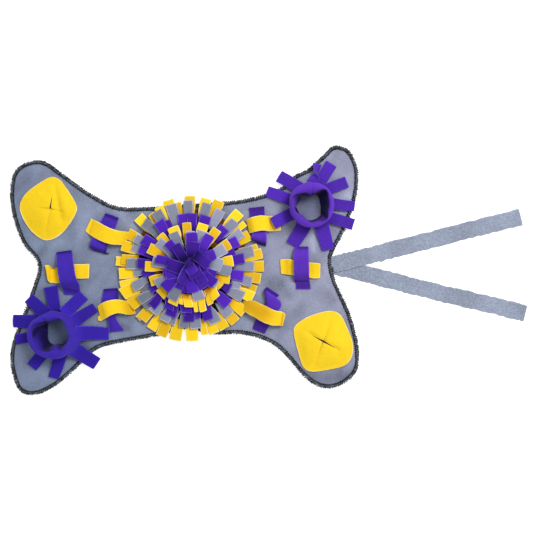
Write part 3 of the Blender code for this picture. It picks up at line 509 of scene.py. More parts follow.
def streaks(x, y, rows, reach=math.inf):
    """What soft streaks add at a point. A row is x1, y1, x2, y2, half width and strength."""
    total = 0
    for x1, y1, x2, y2, width, strength in rows:
        away = from_line(x, y, x1, y1, x2, y2)
        if away < width * reach:
            total += strength * hump(away, width)
    return total


def smooth_loop(points, steps):
    """A closed curve through the points, with this many steps between two of them."""
    count = len(points)
    out = []
    for i in range(count):
        near = [Vector(points[(i + k) % count]) for k in (-1, 0, 1, 2)]
        knots = [0]
        for a, b in zip(near, near[1:]):
            knots.append(knots[-1] + max((b - a).length, 1e-6) ** 0.5)
        for k in range(steps):
            t = knots[1] + (knots[2] - knots[1]) * k / steps
            blend = near
            for spans in (((0, 1), (1, 2), (2, 3)), ((0, 2), (1, 3)), ((1, 2),)):
                blend = [
                    (p * (knots[b] - t) + q * (t - knots[a])) / (knots[b] - knots[a])
                    for (a, b), p, q in zip(spans, blend, blend[1:])
                ]
            out.append(blend[0])
    return out


def between(rows, place):
    """The row at a place along a table of numbers, read smoothly from the rows around it."""
    last = len(rows) - 1
    k = min(int(place), last - 1)
    t = place - k
    before, near, far, after = (rows[min(max(k + n, 0), last)] for n in (-1, 0, 1, 2))
    return [
        0.5 * (2 * q + (r - p) * t + (2 * p - 5 * q + 4 * r - s) * t * t
               + (3 * q - p - 3 * r + s) * t ** 3)
        for p, q, r, s in zip(before, near, far, after)
    ]


def round_value(rows, column, angle):
    """A column's value at an angle, from rows spaced evenly round a circle."""
    count = len(rows)
    place = (angle % 360) * count / 360
    k = int(place)
    ring = [(rows[(k + n) % count][column],) for n in (-1, 0, 1, 2)]
    return between(ring, 1 + place - k)[0]


def inset(loop, depth):
    """The loop moved inwards by a depth. It runs clockwise, so inwards is to its right."""
    count = len(loop)
    return [
        point + right_of((loop[(i + 1) % count] - loop[i - 1]).normalized()) * depth
        for i, point in enumerate(loop)
    ]


def ray_reach(loop, centre, angle):
    """How far the loop lies from a centre inside it, at an angle."""
    way = Vector((math.cos(angle), math.sin(angle)))
    best = 0
    for i, a in enumerate(loop):
        side = loop[(i + 1) % len(loop)] - a
        cross = way.x * side.y - way.y * side.x
        if abs(cross) < 1e-9:
            continue
        gap = a - centre
        along = (gap.x * side.y - gap.y * side.x) / cross
        share = (gap.x * way.y - gap.y * way.x) / cross
        if along > 0 and -1e-9 <= share <= 1 + 1e-9:
            best = max(best, along)
    return best


def spread(angles, least):
    """Angles near those given, in the same order, but at least so many degrees apart."""
    out = list(angles)
    count = len(out)
    for _ in range(600):
        for i in range(count):
            j = (i + 1) % count
            gap = out[j] - out[i] + (360 if j == 0 else 0)
            if gap < least:
                push = (least - gap) / 2
                out[i] -= push
                out[j] += push
    return out


def step_of(place, count):
    """The step, of so many round a closed grid, that a place from -1 to 1 is on."""
    return round((place * 0.5 + 0.5) * count) % count


RIM = smooth_loop(OUTLINE, OUTLINE_STEPS)


# ---------------------------------------------------------------- finishes

def put(tree, kind, feeds=None, **fields):
    """Adds a node. Fields are its own settings, feeds its inputs: a value or another's output."""
    node = tree.nodes.new("ShaderNode" + kind)
    for field, value in fields.items():
        setattr(node, field, value)
    for name, value in (feeds or {}).items():
        if isinstance(value, bpy.types.NodeSocket):
            tree.links.new(value, node.inputs[name])
        else:
            node.inputs[name].default_value = value
    return node


def blend_tint(tree, share, first, second):
    node = put(tree, "Mix", {0: share, 6: first, 7: second}, data_type="RGBA")
    return node.outputs[2]


def spread_of(tree, value, low, high, to_low=0, to_high=1):
    feeds = {0: value, 1: low, 2: high, 3: to_low, 4: to_high}
    return put(tree, "MapRange", feeds).outputs[0]


def sum_of(tree, first, second, operation="ADD"):
    return put(tree, "Math", {0: first, 1: second}, operation=operation).outputs[0]


def speckle(tree, coords, scale, detail=3, rough=0.55, twist=0):
    feeds = {"Vector": coords, "Scale": scale, "Detail": detail, "Roughness": rough,
             "Distortion": twist}
    return put(tree, "TexNoise", feeds).outputs[0]


def new_group(name, inputs, outputs):
    group = bpy.data.node_groups.new(name, "ShaderNodeTree")
    for title, kind, value in inputs:
        socket = group.interface.new_socket(title, in_out="INPUT", socket_type="NodeSocket" + kind)
        socket.default_value = value
    for title, kind in outputs:
        group.interface.new_socket(title, in_out="OUTPUT", socket_type="NodeSocket" + kind)
    return group, group.nodes.new("NodeGroupInput"), group.nodes.new("NodeGroupOutput")


def fleece_nap():
    """Brushed fleece: mottled fine fibres, with painted shade, paler on a cut edge: raw edge and painted
    highlight.
    """
    group, given, result = new_group("fleece nap", (
        ("Tint", "Color", (0.5, 0.5, 0.5, 1)), ("Rim tint", "Color", (0.8, 0.8, 0.8, 1)),
        ("Painted shade tint", "Color", (0.3, 0.3, 0.3, 1)),
        ("Mottle", "Float", 0.12), ("Pile size", "Float", 1), ("Rim", "Float", 0.5),
        ("Warmth", "Float", 0),
    ), (("Color", "Color"), ("Roughness", "Float"), ("Height", "Float")))
    given = given.outputs

    def add(first, second):
        return sum_of(group, first, second)

    def times(first, second):
        return sum_of(group, first, second, "MULTIPLY")

    def read(layer):
        return put(group, "Attribute", attribute_name=layer).outputs["Fac"]

    coords = put(group, "TexCoord").outputs["Object"]
    pile = put(group, "VectorMath", {0: coords, 3: given["Pile size"]}, operation="SCALE").outputs[0]
    drift = speckle(group, coords, 16, 2)
    clump = speckle(group, pile, 240, 3, 0.6, 0.4)
    fibre = speckle(group, pile, 900, 4, 0.65, 0.8)
    shade = add(add(times(clump, 0.55), times(fibre, 0.75)), times(drift, 0.35))
    shade = add(times(add(shade, -0.825), given["Mottle"]), 1)
    # Lightness: the cloth's random tone, with painted light and shade laid over it
    lightness = read("lightness")
    shade = add(times(lightness, 0.24), shade)
    # Where it is darker, Warmth also turns it towards the painted shade tint: a warmer painted shade
    low = sum_of(group, sum_of(group, lightness, 0, "MINIMUM"), -1.3, "MAXIMUM")
    warm = times(low, given["Warmth"])
    shade = add(shade, times(warm, -0.15))
    # Painted shade: the painted_shade attribute blends the tint towards the painted shade tint
    painted_shade = add(read("painted_shade"), times(warm, -0.3))
    tint = blend_tint(group, painted_shade, given["Tint"], given["Painted shade tint"])
    tint = put(group, "HueSaturation", {"Color": tint, "Value": shade}).outputs[0]
    # A cut edge is paler: partly its raw edge, partly a painted highlight that comes and goes along it and
    # fades in painted shade
    frayed = times(spread_of(group, read("cut"), 0.05, 0.5), spread_of(group, clump, 0.3, 0.7, 0.7, 1))
    patchy = spread_of(group, speckle(group, coords, 55, 1), 0.38, 0.58, 0.3, 1)
    rim = times(times(frayed, patchy), given["Rim"])
    rim = times(rim, add(times(low, 0.45), 1))
    group.links.new(blend_tint(group, rim, tint, given["Rim tint"]), result.inputs["Color"])
    group.links.new(spread_of(group, fibre, 0, 1, 0.86, 1), result.inputs["Roughness"])
    group.links.new(add(times(clump, 0.6), times(fibre, 0.4)), result.inputs["Height"])
    return group


def tone(red, green, blue, strength=1):
    """A tint given as it looks, from 0 to 255, as the shader's light values."""
    out = []
    for value in (red, green, blue):
        value /= 255
        value = value / 12.92 if value <= 0.04045 else ((value + 0.055) / 1.055) ** 2.4
        out.append(value * strength)
    return (*out, 1)


def new_finish(name, values):
    """An empty finish and its shader, with values for some of the shader's inputs."""
    finish = bpy.data.materials.new(name)
    finish.use_nodes = True
    shader = finish.node_tree.nodes["Principled BSDF"]
    for title, value in values.items():
        shader.inputs[title].default_value = value
    return finish, shader


def dress(tree, shader, color, height, relief):
    """Gives a shader its colour and the relief of its fibres."""
    bump = put(tree, "Bump", {"Height": height, "Distance": relief, "Strength": 1})
    tree.links.new(color, shader.inputs["Base Color"])
    tree.links.new(bump.outputs[0], shader.inputs["Normal"])


LIGHT = 0.82              # the share of a tint that the cloth itself gives back
NAP = fleece_nap()
# The way along which the tints change, from the left to the right: painted light, darker and bluer at the
# left
PAINTED_LIGHT_WAY = (1, 0.6, 0)


def fleece(name, tints, mottle, rim, sheen, relief=0.0007, pile=1, warmth=0):
    """A fleece finish. Its tints: at the left and at the right, apart by painted light, on a cut edge, and in
    painted shade.
    """
    left, right, edge, painted_shade_tint = (tone(*tint, LIGHT) for tint in tints)
    finish, shader = new_finish(
        name, {"Sheen Weight": sheen, "Sheen Roughness": 0.45, "Specular IOR Level": 0.15})
    tree = finish.node_tree
    coords = put(tree, "TexCoord").outputs["Object"]
    across = put(tree, "VectorMath", {0: coords, 1: PAINTED_LIGHT_WAY}, operation="DOT_PRODUCT")
    share = spread_of(tree, across.outputs["Value"], -0.26, 0.26)
    nap = put(tree, "Group", {
        "Tint": blend_tint(tree, share, left, right), "Rim tint": edge, "Painted shade tint": painted_shade_tint,
        "Mottle": mottle, "Pile size": pile, "Rim": rim, "Warmth": warmth}, node_tree=NAP).outputs
    tree.links.new(nap["Roughness"], shader.inputs["Roughness"])
    dress(tree, shader, nap["Color"], nap["Height"], relief)
    return finish


def thread(name, dark, pale):
    """Spun polyester thread, darker or paler by its tone attribute: random from stitch to stitch, with a
    painted highlight on top of the edge.
    """
    finish, shader = new_finish(name, {"Roughness": 0.8, "Specular IOR Level": 0.2})
    tree = finish.node_tree
    coords = put(tree, "TexCoord").outputs["Object"]
    fibre = speckle(tree, coords, 1300, 3, 0.6)
    lightness = put(tree, "Attribute", attribute_name="tone").outputs["Fac"]
    share = sum_of(tree, lightness, spread_of(tree, fibre, 0.3, 0.7, -0.18, 0.18))
    dress(tree, shader, blend_tint(tree, share, dark, pale), fibre, 0.0005)
    return finish


# Each fleece: its name, its four tints, then how mottled, how pale on its cut edges, its sheen
FINISHES = {
    "grey": fleece(
        "grey base fleece", ((122, 134, 160), (150, 153, 177), (176, 184, 200), (40, 62, 104)),
        0.85, 0.4, 0.12, pile=1.15),
    "yellow": fleece(
        "yellow fleece", ((247, 203, 26), (249, 206, 34), (255, 244, 168), (208, 126, 4)),
        0.30, 1, 0.08, warmth=1),
    "pocket yellow": fleece(
        "pocket yellow fleece", ((249, 209, 30), (251, 212, 38), (255, 251, 230), (208, 126, 4)),
        0.36, 1, 0.08, warmth=1),
    "fringe purple": fleece(
        "purple fringe fleece", ((42, 16, 150), (94, 42, 188), (138, 104, 228), (24, 2, 100)),
        0.55, 0.95, 0.07, warmth=0.8),
    "purple": fleece(
        "purple fleece", ((60, 38, 168), (96, 50, 188), (132, 98, 222), (18, 4, 68)),
        0.55, 0.75, 0.07, warmth=0.5),
    "skirt purple": fleece(
        "purple tab fleece", ((48, 28, 156), (82, 42, 178), (98, 66, 204), (28, 14, 92)),
        0.60, 0.6, 0.12),
    "fringe grey": fleece(
        "grey fringe fleece", ((112, 124, 138), (158, 160, 186), (226, 222, 240), (62, 68, 92)),
        0.46, 0.75, 0.12),
    "tie": fleece(
        "tie fleece", ((148, 156, 177), (152, 161, 182), (190, 196, 208), (90, 96, 110)),
        1.7, 0.35, 0.12, relief=0.0022, pile=1.25),
    "thread": thread("overlock thread", tone(5, 6, 9), tone(150, 160, 178, LIGHT)),
}


# ---------------------------------------------------------------- making up

def sew_up(name, bm, finish, stands_for, cloth=None, thick=FLEECE, inside=False, rounds=1,
           lying=True):
    """Turns a shaped mesh into a finished piece. Cloth is (width, length, held, rests on, area); it is not
    used.
    """
    if lying:
        for vert in bm.verts:
            vert.co.z += streaks(vert.co.x, vert.co.y, FOLDS, FOLD_REACH)
    bmesh.ops.scale(bm, vec=(MM, MM, MM), verts=bm.verts)
    mesh = bpy.data.meshes.new(name)
    bm.to_mesh(mesh)
    bm.free()
    mesh.shade_smooth()
    mesh.materials.append(FINISHES[finish])
    piece = place_object(name, mesh)
    if thick:
        wall = piece.modifiers.new("thickness", "SOLIDIFY")
        wall.thickness = thick * MM
        wall.offset = -1 if inside else 0
    if rounds:
        soft = piece.modifiers.new("soft edges", "SUBSURF")
        soft.levels = soft.render_levels = rounds
    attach(piece, "root")
    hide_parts(stands_for)
    if cloth:
        width, length, held, rests_on, area = cloth
        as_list(rests_on)


def place_object(name, data):
    item = bpy.data.objects.new(name, data)
    bpy.context.scene.collection.objects.link(item)
    return item


def new_cloth():
    bm = bmesh.new()
    for layer in ("cut", "painted_shade", "lightness"):
        bm.verts.layers.float.new(layer)
    return bm


def new_grid(bm, across, along):
    return bmesh.ops.create_grid(bm, x_segments=across, y_segments=along, size=1.0)["verts"]


def close_up(bm):
    """Joins a grid's first and last rows, and turns every face outwards."""
    bmesh.ops.remove_doubles(bm, verts=bm.verts, dist=1e-4)
    bmesh.ops.recalc_face_normals(bm, faces=bm.faces)


def settle(place, count, edge):
    """Moves even steps from -1 to 1 so that the outermost step is only a cut edge wide."""
    inner = 1 - 2 / count
    if abs(place) > inner + 1e-6:
        return place
    return place / inner * (1 - edge)


def strip_row(place, height, side, wide, tilt=0):
    """A row for lay_strip(). Its way across rises by a tilt."""
    tilt = math.radians(tilt)
    level = math.cos(tilt)
    return place.x, place.y, height, side.x * level, side.y * level, math.sin(tilt), wide / 2


def lay_strip(bm, rows, across=6, along=10, edge=1.7, shape=None, lightness=0, root=0, bow=0):
    """Lays a strip of cloth along rows of x, y, z, side x, side y, side z and half width.

    Shape moves a point of the strip, from its share across, -1 to 1, and along, 0 to 1. Lightness makes the
    whole strip paler or darker. Root is how far along from its root the strip gets painted shade, or how far
    it is paler if it is negative. Bow rounds the tip, outwards or inwards.
    """
    cut, painted_shade, shade = (bm.verts.layers.float[name] for name in ("cut", "painted_shade", "lightness"))
    grid = new_grid(bm, across, along)
    length = sum(math.dist(a[:3], b[:3]) for a, b in zip(rows, rows[1:]))
    for vert in grid:
        u, v = vert.co.x, vert.co.y
        vert[cut] = 1 if max(abs(u), abs(v)) > 0.999 else 0
        vert[shade] = lightness
        v = settle(v, along, 2 * edge / length) * 0.5 + 0.5
        fade = 1 - ease(v / abs(root)) if root else 0
        # Painted shade from the root along the strip, or a paler root if root is negative
        if root < 0:
            vert[shade] += 1.2 * fade
        else:
            vert[painted_shade] = fade
            vert[shade] -= 1.4 * fade * root
        bowed = v - bow * u * u * ease(v)
        x, y, z, side_x, side_y, side_z, half = between(rows, bowed * (len(rows) - 1))
        u = settle(u, across, edge / half)
        side = Vector((side_x, side_y, side_z)).normalized()
        vert.co = Vector((x, y, z)) + side * half * u
        if shape:
            vert.co += shape(u, v)
    return grid


def cupped(amount, curl=0):
    """A tab whose long edges stand up by an amount, and whose tip curls."""
    def shape(u, v):
        return Vector((0, 0, amount * u * u * ease(v * 2) + curl * clamp((v - 0.7) / 0.3) ** 2))
    return shape


# ---------------------------------------------------------------- the mat and its edge

def mat_cloth():
    """The base: one sheet, a little uneven, whose rim is pressed thinner by the overlocking."""
    bm = new_cloth()
    outline = [bm.verts.new((p.x, p.y, 0)) for p in inset(RIM, EDGE_WALL + GAP)]
    bm.faces.new(reversed(outline))
    for axis, reach in enumerate(BASE_HALF):
        for step in range(-reach, reach + 1, BASE_CELL):
            place, way = Vector((0, 0, 0)), Vector((0, 0, 0))
            place[axis], way[axis] = step, 1
            geom = bm.verts[:] + bm.edges[:] + bm.faces[:]
            bmesh.ops.bisect_plane(bm, geom=geom, dist=1e-4, plane_co=place, plane_no=way)
    rim = kdtree.KDTree(len(RIM))
    for number, point in enumerate(RIM):
        rim.insert((point.x, point.y, 0), number)
    rim.balance()
    upper = bmesh.ops.extrude_face_region(bm, geom=bm.faces[:])["geom"]
    upper = {item for item in upper if isinstance(item, bmesh.types.BMVert)}
    painted_shade, tone_and_painted_light = bm.verts.layers.float["painted_shade"], bm.verts.layers.float["lightness"]
    for vert in bm.verts:
        x, y, _ = vert.co
        # Painted shade on the base inside each cup's foot
        for foot_x, foot_y, radius_x, radius_y, _, _ in CUP_FEET.values():
            inside = math.hypot((x - foot_x) / radius_x, (y - foot_y) / radius_y)
            vert[painted_shade] = max(vert[painted_shade], 0.4 * (1 - ease((inside - 0.8) / 0.3)))
        # Lightness: soft streaky noise, then the painted light and shade streaks
        across, down = x * 0.8 - y * 0.6, x * 0.6 + y * 0.8
        vert[tone_and_painted_light] = noise.noise((across / 26, down / 48, 2))
        vert[tone_and_painted_light] += 0.7 * noise.noise((across / 10, down / 24, 5))
        vert[tone_and_painted_light] += streaks(x, y, PAINTED_LIGHT_STREAKS)
        away = rim.find(vert.co)[2]
        if vert in upper:
            vert.co.z = BASE_TOP
            if away > CALM_RIM:
                uneven = 0.35 * noise.noise((x / 22, y / 22, 0)) * ease((away - CALM_RIM) / 10)
                vert.co.z += uneven - 0.15
        else:
            vert.co.z = RIM_LIFT * (1 - ease((away - EDGE_REACH) / 4))
    bmesh.ops.recalc_face_normals(bm, faces=bm.faces)
    sew_up("base_cloth", bm, "grey", "mat_base",
           (0.620, 0.440, "laid", [], 0.168), thick=0, rounds=0)


def rim_frames(count):
    """Points evenly along the rim, each with the way ahead and the way inwards."""
    lengths = [0]
    for a, b in zip(RIM, RIM[1:] + RIM[:1]):
        lengths.append(lengths[-1] + (b - a).length)
    ways = [(RIM[(i + 1) % len(RIM)] - RIM[i - 1]).normalized() for i in range(len(RIM))]
    frames, k = [], 0
    for n in range(count):
        place = lengths[-1] * n / count
        while lengths[k + 1] < place:
            k += 1
        share = (place - lengths[k]) / (lengths[k + 1] - lengths[k])
        ahead = ways[k].lerp(ways[(k + 1) % len(RIM)], share).normalized()
        middle = RIM[k].lerp(RIM[(k + 1) % len(RIM)], share)
        frames.append((middle, ahead, right_of(ahead)))
    return frames


def many_tubes(bm, count, around, along, place):
    """Lays many short tubes. Place gives a point from a tube's number, its turn and its station."""
    cells = count * (along + 1) - 1
    grid = new_grid(bm, cells, around)
    stations = {vert: round((vert.co.x * 0.5 + 0.5) * cells) for vert in grid}
    between_tubes = [
        face for face in {face for vert in grid for face in vert.link_faces}
        if len({stations[vert] // (along + 1) for vert in face.verts}) > 1
    ]
    for vert, station in stations.items():
        place(vert, station // (along + 1), math.pi * (vert.co.y + 1), station % (along + 1))
    bmesh.ops.delete(bm, geom=between_tubes, context="FACES_ONLY")


def overlocking():
    """The sewn edge: packed thread round the rim, threads that wrap it, and a dark chain."""
    bm = bmesh.new()
    shade = bm.verts.layers.float.new("tone")
    around = len(EDGE_SECTION)
    frames, fine = rim_frames(PACKED), rim_frames(STITCHES * STITCH_STEPS)
    for vert in new_grid(bm, PACKED, around):
        k = step_of(vert.co.x, PACKED)
        depth, height = EDGE_SECTION[step_of(vert.co.y, around)]
        middle, _, inwards = frames[k]
        bump = noise.noise((k * 0.42, 3.1, 0)) + 0.8 * noise.noise((k * 0.12, 7.7, 0))
        depth += (0.5 + 1.5 * bump) * (1 - clamp(depth / 3))
        place = middle + inwards * depth
        height += 0.35 * bump * (height > 3.4)
        vert.co = (*place, clamp(height, 0, EDGE_TOP))
        # Pale specks only on its top, between its outer and inner edges: the thread's random tone with a
        # painted highlight
        speck = noise.noise((k * 0.9, depth * 0.8, 1))
        vert[shade] = clamp((0.30 + 0.9 * speck) * ease((depth - 1) / 1.2) * ease((5.6 - depth) / 0.8))
        vert[shade] *= height > 3
    for stations, lay_thread in ((WRAP, wrap_thread), (LINK, chain_thread)):
        many_tubes(bm, STITCHES, THREAD_SIDES, len(stations) - 1,
                   lambda *given: lay_thread(shade, fine, *given))
    bmesh.ops.remove_doubles(bm, verts=bm.verts, dist=1e-4)
    sew_up("edge_overlocking", bm, "thread", "overlock_edge", thick=0, rounds=0)


def wrap_thread(shade, frames, vert, number, turn, station):
    """A point of one thread that slants over the rim."""
    depth, height, forward, outwards, upwards, pale = WRAP[station]
    middle, ahead, inwards = frames[number * STITCH_STEPS]
    share = station / (len(WRAP) - 1)
    bold = max(0, chance(number, 2) - 0.45)
    depth += 0.7 * chance(number, 4) * (1 - share) - 0.9 * bold * (station > 2)
    along = forward + 1.1 * chance(number, 5) * (share - 0.5) + 0.8 * chance(number, 8)
    out = Vector((-inwards.x * outwards, -inwards.y * outwards, upwards)).normalized()
    wide = THREAD + 0.2 * chance(number, 3) + 0.3 * bold
    place = (middle + inwards * depth + ahead * along).to_3d()
    place.z = height
    vert.co = place + (out * math.cos(turn) + ahead.to_3d() * math.sin(turn)) * wide
    # A thread's tone is random; where it runs over the top it gets the station's painted highlight
    lightness = 0.2 + 0.24 * chance(number, 1) + 1.5 * max(0, chance(number, 9) - 0.55)
    patch = clamp(0.75 + 1.3 * noise.noise((number * 0.16, 9, 2)))
    vert[shade] = clamp(lightness * patch * pale)


def chain_thread(shade, frames, vert, number, turn, station):
    """A point of one dark link of the needle thread along the inner edge."""
    middle, ahead, inwards = frames[(number * STITCH_STEPS + 2) % len(frames)]
    thin, height = LINK[station]
    depth = CHAIN_DEPTH + 0.4 * chance(number, 7) + thin * math.sin(turn)
    place = middle + inwards * depth + ahead * (station - 1.5) * 0.85
    vert.co = (*place, height + thin * math.cos(turn))
    vert[shade] = 0.03 + 0.03 * chance(number, 6)


# ---------------------------------------------------------------- pockets

SLIT_STEPS = 24           # spokes from one arm of a slit to the next
POCKET_RINGS = 20         # rings from the slit to the seam


def pocket(name, centre, outline, arms, dome):
    """A panel sewn down round its edge, raised in the middle, with a cross cut through it."""
    bm = new_cloth()
    cut = bm.verts.layers.float["cut"]
    centre = Vector(centre)
    loop = smooth_loop(outline, 6)
    spokes = []
    for i, (angle, _, _) in enumerate(arms):
        wide = (arms[(i + 1) % len(arms)][0] - angle) % 360
        for k in range(SLIT_STEPS):
            turn = math.radians(angle + wide * (0.5 - 0.5 * math.cos(math.pi * k / SLIT_STEPS)))
            near = 0.3
            for arm, length, half in arms:
                gap = turn - math.radians(arm)
                if math.cos(gap) > 0:
                    near = max(near, half / (abs(math.sin(gap)) + half * math.cos(gap) / length))
            spokes.append((Vector((math.cos(turn), math.sin(turn))), near, ray_reach(loop, centre, turn)))
    for vert in new_grid(bm, len(spokes), POCKET_RINGS):
        way, near, far = spokes[step_of(vert.co.x, len(spokes))]
        v = vert.co.y
        frayed = 0.4 + FRAYED_SIDES[name][way.y < 0]
        vert[cut] = clamp(-0.1 if v < 0 else (v - 0.9) * 10) * frayed
        share = settle(v, POCKET_RINGS, 3.2 / (far - near)) * 0.5 + 0.5
        reach = near + (far - near) * share
        u = min(reach / far / 0.95, 1)
        place = centre + way * reach
        z = SEWN + dome * (1 - u ** 2.4) ** 1.3
        z = max(z - streaks(place.x, place.y, CREASES[name]) * (1 - u ** 4), SEWN)
        place += way * 0.5 * noise.noise((place.x / 4, place.y / 4, 5)) * (share > 0.999)
        vert.co = (*place, z)
    close_up(bm)
    sew_up(name.replace("pocket", "pocket_panel"), bm, "pocket yellow", name,
           (0.108, 0.118, "laid", ["base_cloth"], 0.0088))


# ---------------------------------------------------------------- cups and their tabs

ROUND_COLLAR = 144        # steps round a collar
DOWN_COLLAR = 30          # steps from its foot, over its rim, to its floor
SEAM_HALF = 2.4           # half width of a seam's crease, in degrees
BULGE_HALF = 8            # half width of the bulge beside it, and how far from it that is
BULGE_OFF = 11


def collar(name, foot, rim_rows):
    """A rolled collar of doubled fleece. It is open above, and below it shows the base."""
    foot_x, foot_y, radius_x, radius_y, rim_x, rim_y = foot
    seam_angle, seam_slant, seam_depth, bulge = COLLAR_SEAMS[name]
    sections = []
    for i in range(ROUND_COLLAR):
        angle = 360 * i / ROUND_COLLAR
        cos, sin = math.cos(math.radians(angle)), math.sin(math.radians(angle))
        widest, height, crest, lip, lip_height, full, floor = (
            round_value(rim_rows, k, angle) for k in range(7))

        def place(share, reach, inwards, z):
            """A point a share of the way from the foot's ellipse to a reach from the rim's centre."""
            x0, y0 = foot_x + (radius_x - inwards) * cos, foot_y + (radius_y - inwards) * sin
            x1, y1 = rim_x + reach * cos, rim_y + reach * sin
            return (x0 + (x1 - x0) * share, y0 + (y1 - y0) * share, SEAT + z)

        ripple = 0.9 * noise.noise((cos * 2.2, sin * 2.2, foot_x))
        ripple += 0.4 * noise.noise((cos * 6, sin * 6, foot_x))
        push = sum(depth * hump(off_angle(angle, turn), wide) for turn, wide, depth in INNER_FOLDS[name])
        top = CUP_HEIGHT + ripple * 0.6
        widest += ripple
        full = clamp(full)
        shoulder = crest + (widest - crest) * (0.5 + 0.17 * full)
        wall = (radius_x + radius_y) / 2 - floor
        sections.append([
            place(0, widest, 0, 0.4), place(0, widest, 0, 3.4),
            place(0.45, widest, 0, 3.4 + (height - 3.4) * 0.42), place(1, widest, 0, height),
            place(1, shoulder, 0, height + (top - height) * (0.52 + 0.14 * full)),
            place(1, crest, 0, top),
            place(1, (crest + lip) / 2, 0, (top + lip_height) / 2 + 1.8),
            place(1, lip - push * 0.3, 0, lip_height - 3),
            place(0.72, lip - push * 1.4, wall, 21), place(0.3, lip - push * 2.4, wall, 9),
            place(0, lip, wall + push * 0.5, 0.4),
        ])
    bm = new_cloth()
    painted_shade, lightness = bm.verts.layers.float["painted_shade"], bm.verts.layers.float["lightness"]
    for vert in new_grid(bm, ROUND_COLLAR, DOWN_COLLAR):
        number = step_of(vert.co.x, ROUND_COLLAR)
        section, angle = sections[number], 360 * number / ROUND_COLLAR
        open_side = clamp(round_value(rim_rows, 5, angle))
        v = vert.co.y * 0.5 + 0.5
        vert.co = between(section, v * (len(section) - 1))
        turn = off_angle(angle + seam_slant * (1 - ease((v - 0.2) / 0.25)), seam_angle)
        sink = seam_depth * hump(turn, SEAM_HALF) - bulge * hump(turn + BULGE_OFF, BULGE_HALF)
        sink *= ease((v - 0.18) / 0.1) * ease((0.74 - v) / 0.1)
        drop = ease((v - 0.25) / 0.25)
        way = way_at(angle) * (1 - drop)
        vert.co -= Vector((way.x, way.y, drop)) * sink
        # Painted shade inside, from under the rim down to the floor and along the crease shade
        near, far = (clamp(round_value(rim_rows, k, angle)) for k in (7, 8))
        shade = (near + (far - near) * ease((v - 0.7) / 0.18)) * ease((v - 0.6) / 0.09)
        shade += streaks(angle, v * ROLL, INNER_CREASE_SHADE[name]) * ease((v - 0.58) / 0.06)
        # Painted shade also round the foot of the outer wall, darker and most where the roll is full
        vert[painted_shade] = clamp(shade + (0.4 + 0.5 * open_side) * (1 - ease(v / 0.3)))
        vert[lightness] = -2 * open_side * (1 - ease(v / 0.22))
    close_up(bm)
    sew_up(name.replace("cup", "cup_collar"), bm, "purple", name,
           (0.090, 0.250, "folded", ["base_cloth"], 0.0200), inside=True)


RING_PAINTED_SHADE = -4.2         # painted shade of a strip that holds tabs: it darkens the gaps between them
RING_SIDES = 96
RING_AWAY = 5             # how far outside a cup's foot its tabs' strip stands


def ring_strip(bm, centre, rings):
    """The strip that holds the tabs, through rings of (radius x, radius y, height)."""
    painted_shade, lightness = bm.verts.layers.float["painted_shade"], bm.verts.layers.float["lightness"]
    radius_x, radius_y, height = rings[0]
    ring = bmesh.ops.create_circle(bm, cap_ends=False, segments=RING_SIDES, radius=1.0)["verts"]
    edges = list({edge for vert in ring for edge in vert.link_edges})
    for vert in ring:
        vert.co = (centre[0] + radius_x * vert.co.x, centre[1] + radius_y * vert.co.y, height)
    for wide_x, wide_y, height in rings[1:]:
        made = bmesh.ops.extrude_edge_only(bm, edges=edges)["geom"]
        edges = [item for item in made if isinstance(item, bmesh.types.BMEdge)]
        for vert in (item for item in made if isinstance(item, bmesh.types.BMVert)):
            x, y = vert.co.x - centre[0], vert.co.y - centre[1]
            vert.co = (centre[0] + x * wide_x / radius_x, centre[1] + y * wide_y / radius_y, height)
            ring.append(vert)
        radius_x, radius_y = wide_x, wide_y
    # The whole strip is painted dark: painted shade in the gaps between the tabs it holds
    for vert in ring:
        vert[painted_shade] = 1
        vert[lightness] = RING_PAINTED_SHADE


def skirt(name, foot, radii, number):
    """The tabs round a cup, cut in one with a ring strip that is sewn against its wall."""
    bm = new_cloth()
    wide = tuple(radius + RING_AWAY for radius in radii)
    ring_strip(bm, foot, ((*wide, SEAT + 0.6), (*wide, SEAT + 4)))
    for k, row in enumerate(SKIRT_TABS[name]):
        tip_x, tip_y, heading, root_width, tip_width, length, root, middle, tip_height, twist = row
        ahead = way_at(heading)
        side = right_of(ahead)
        rows = []
        rise = root - middle
        for share, height in ((0, root), (0.12, middle + rise * 0.58), (0.24, middle + rise * 0.2),
                              (0.42, middle + 0.3), (0.7, (middle + tip_height) / 2 + 0.5),
                              (1, tip_height)):
            place = Vector((tip_x, tip_y)) - ahead * length * (1 - share)
            place += side * 1.2 * chance(k, number) * math.sin(math.pi * share)
            tilt = twist * (share if abs(twist) < 30 else ease((share - 0.35) / 0.5))
            wide = root_width + (tip_width - root_width) * share
            rows.append(strip_row(place, height, side, wide, tilt))
        # Their roots get painted shade, or turn paler where they start high inside the collar
        lay_strip(bm, rows, across=8, along=14, shape=cupped(0.6 * chance(k, number, 2), 0.5),
                  lightness=0.6 * chance(k, number, 3), root=-0.5 if root > 16 else SHADED.get(heading, 0.4),
                  bow=0.03 * chance(k, number, 4))
    sew_up(name.replace("cup", "skirt"), bm, "skirt purple", name + "_skirt",
           (0.060, 0.230, "draped", ["base_cloth"], 0.0105))


# ---------------------------------------------------------------- loops and ties

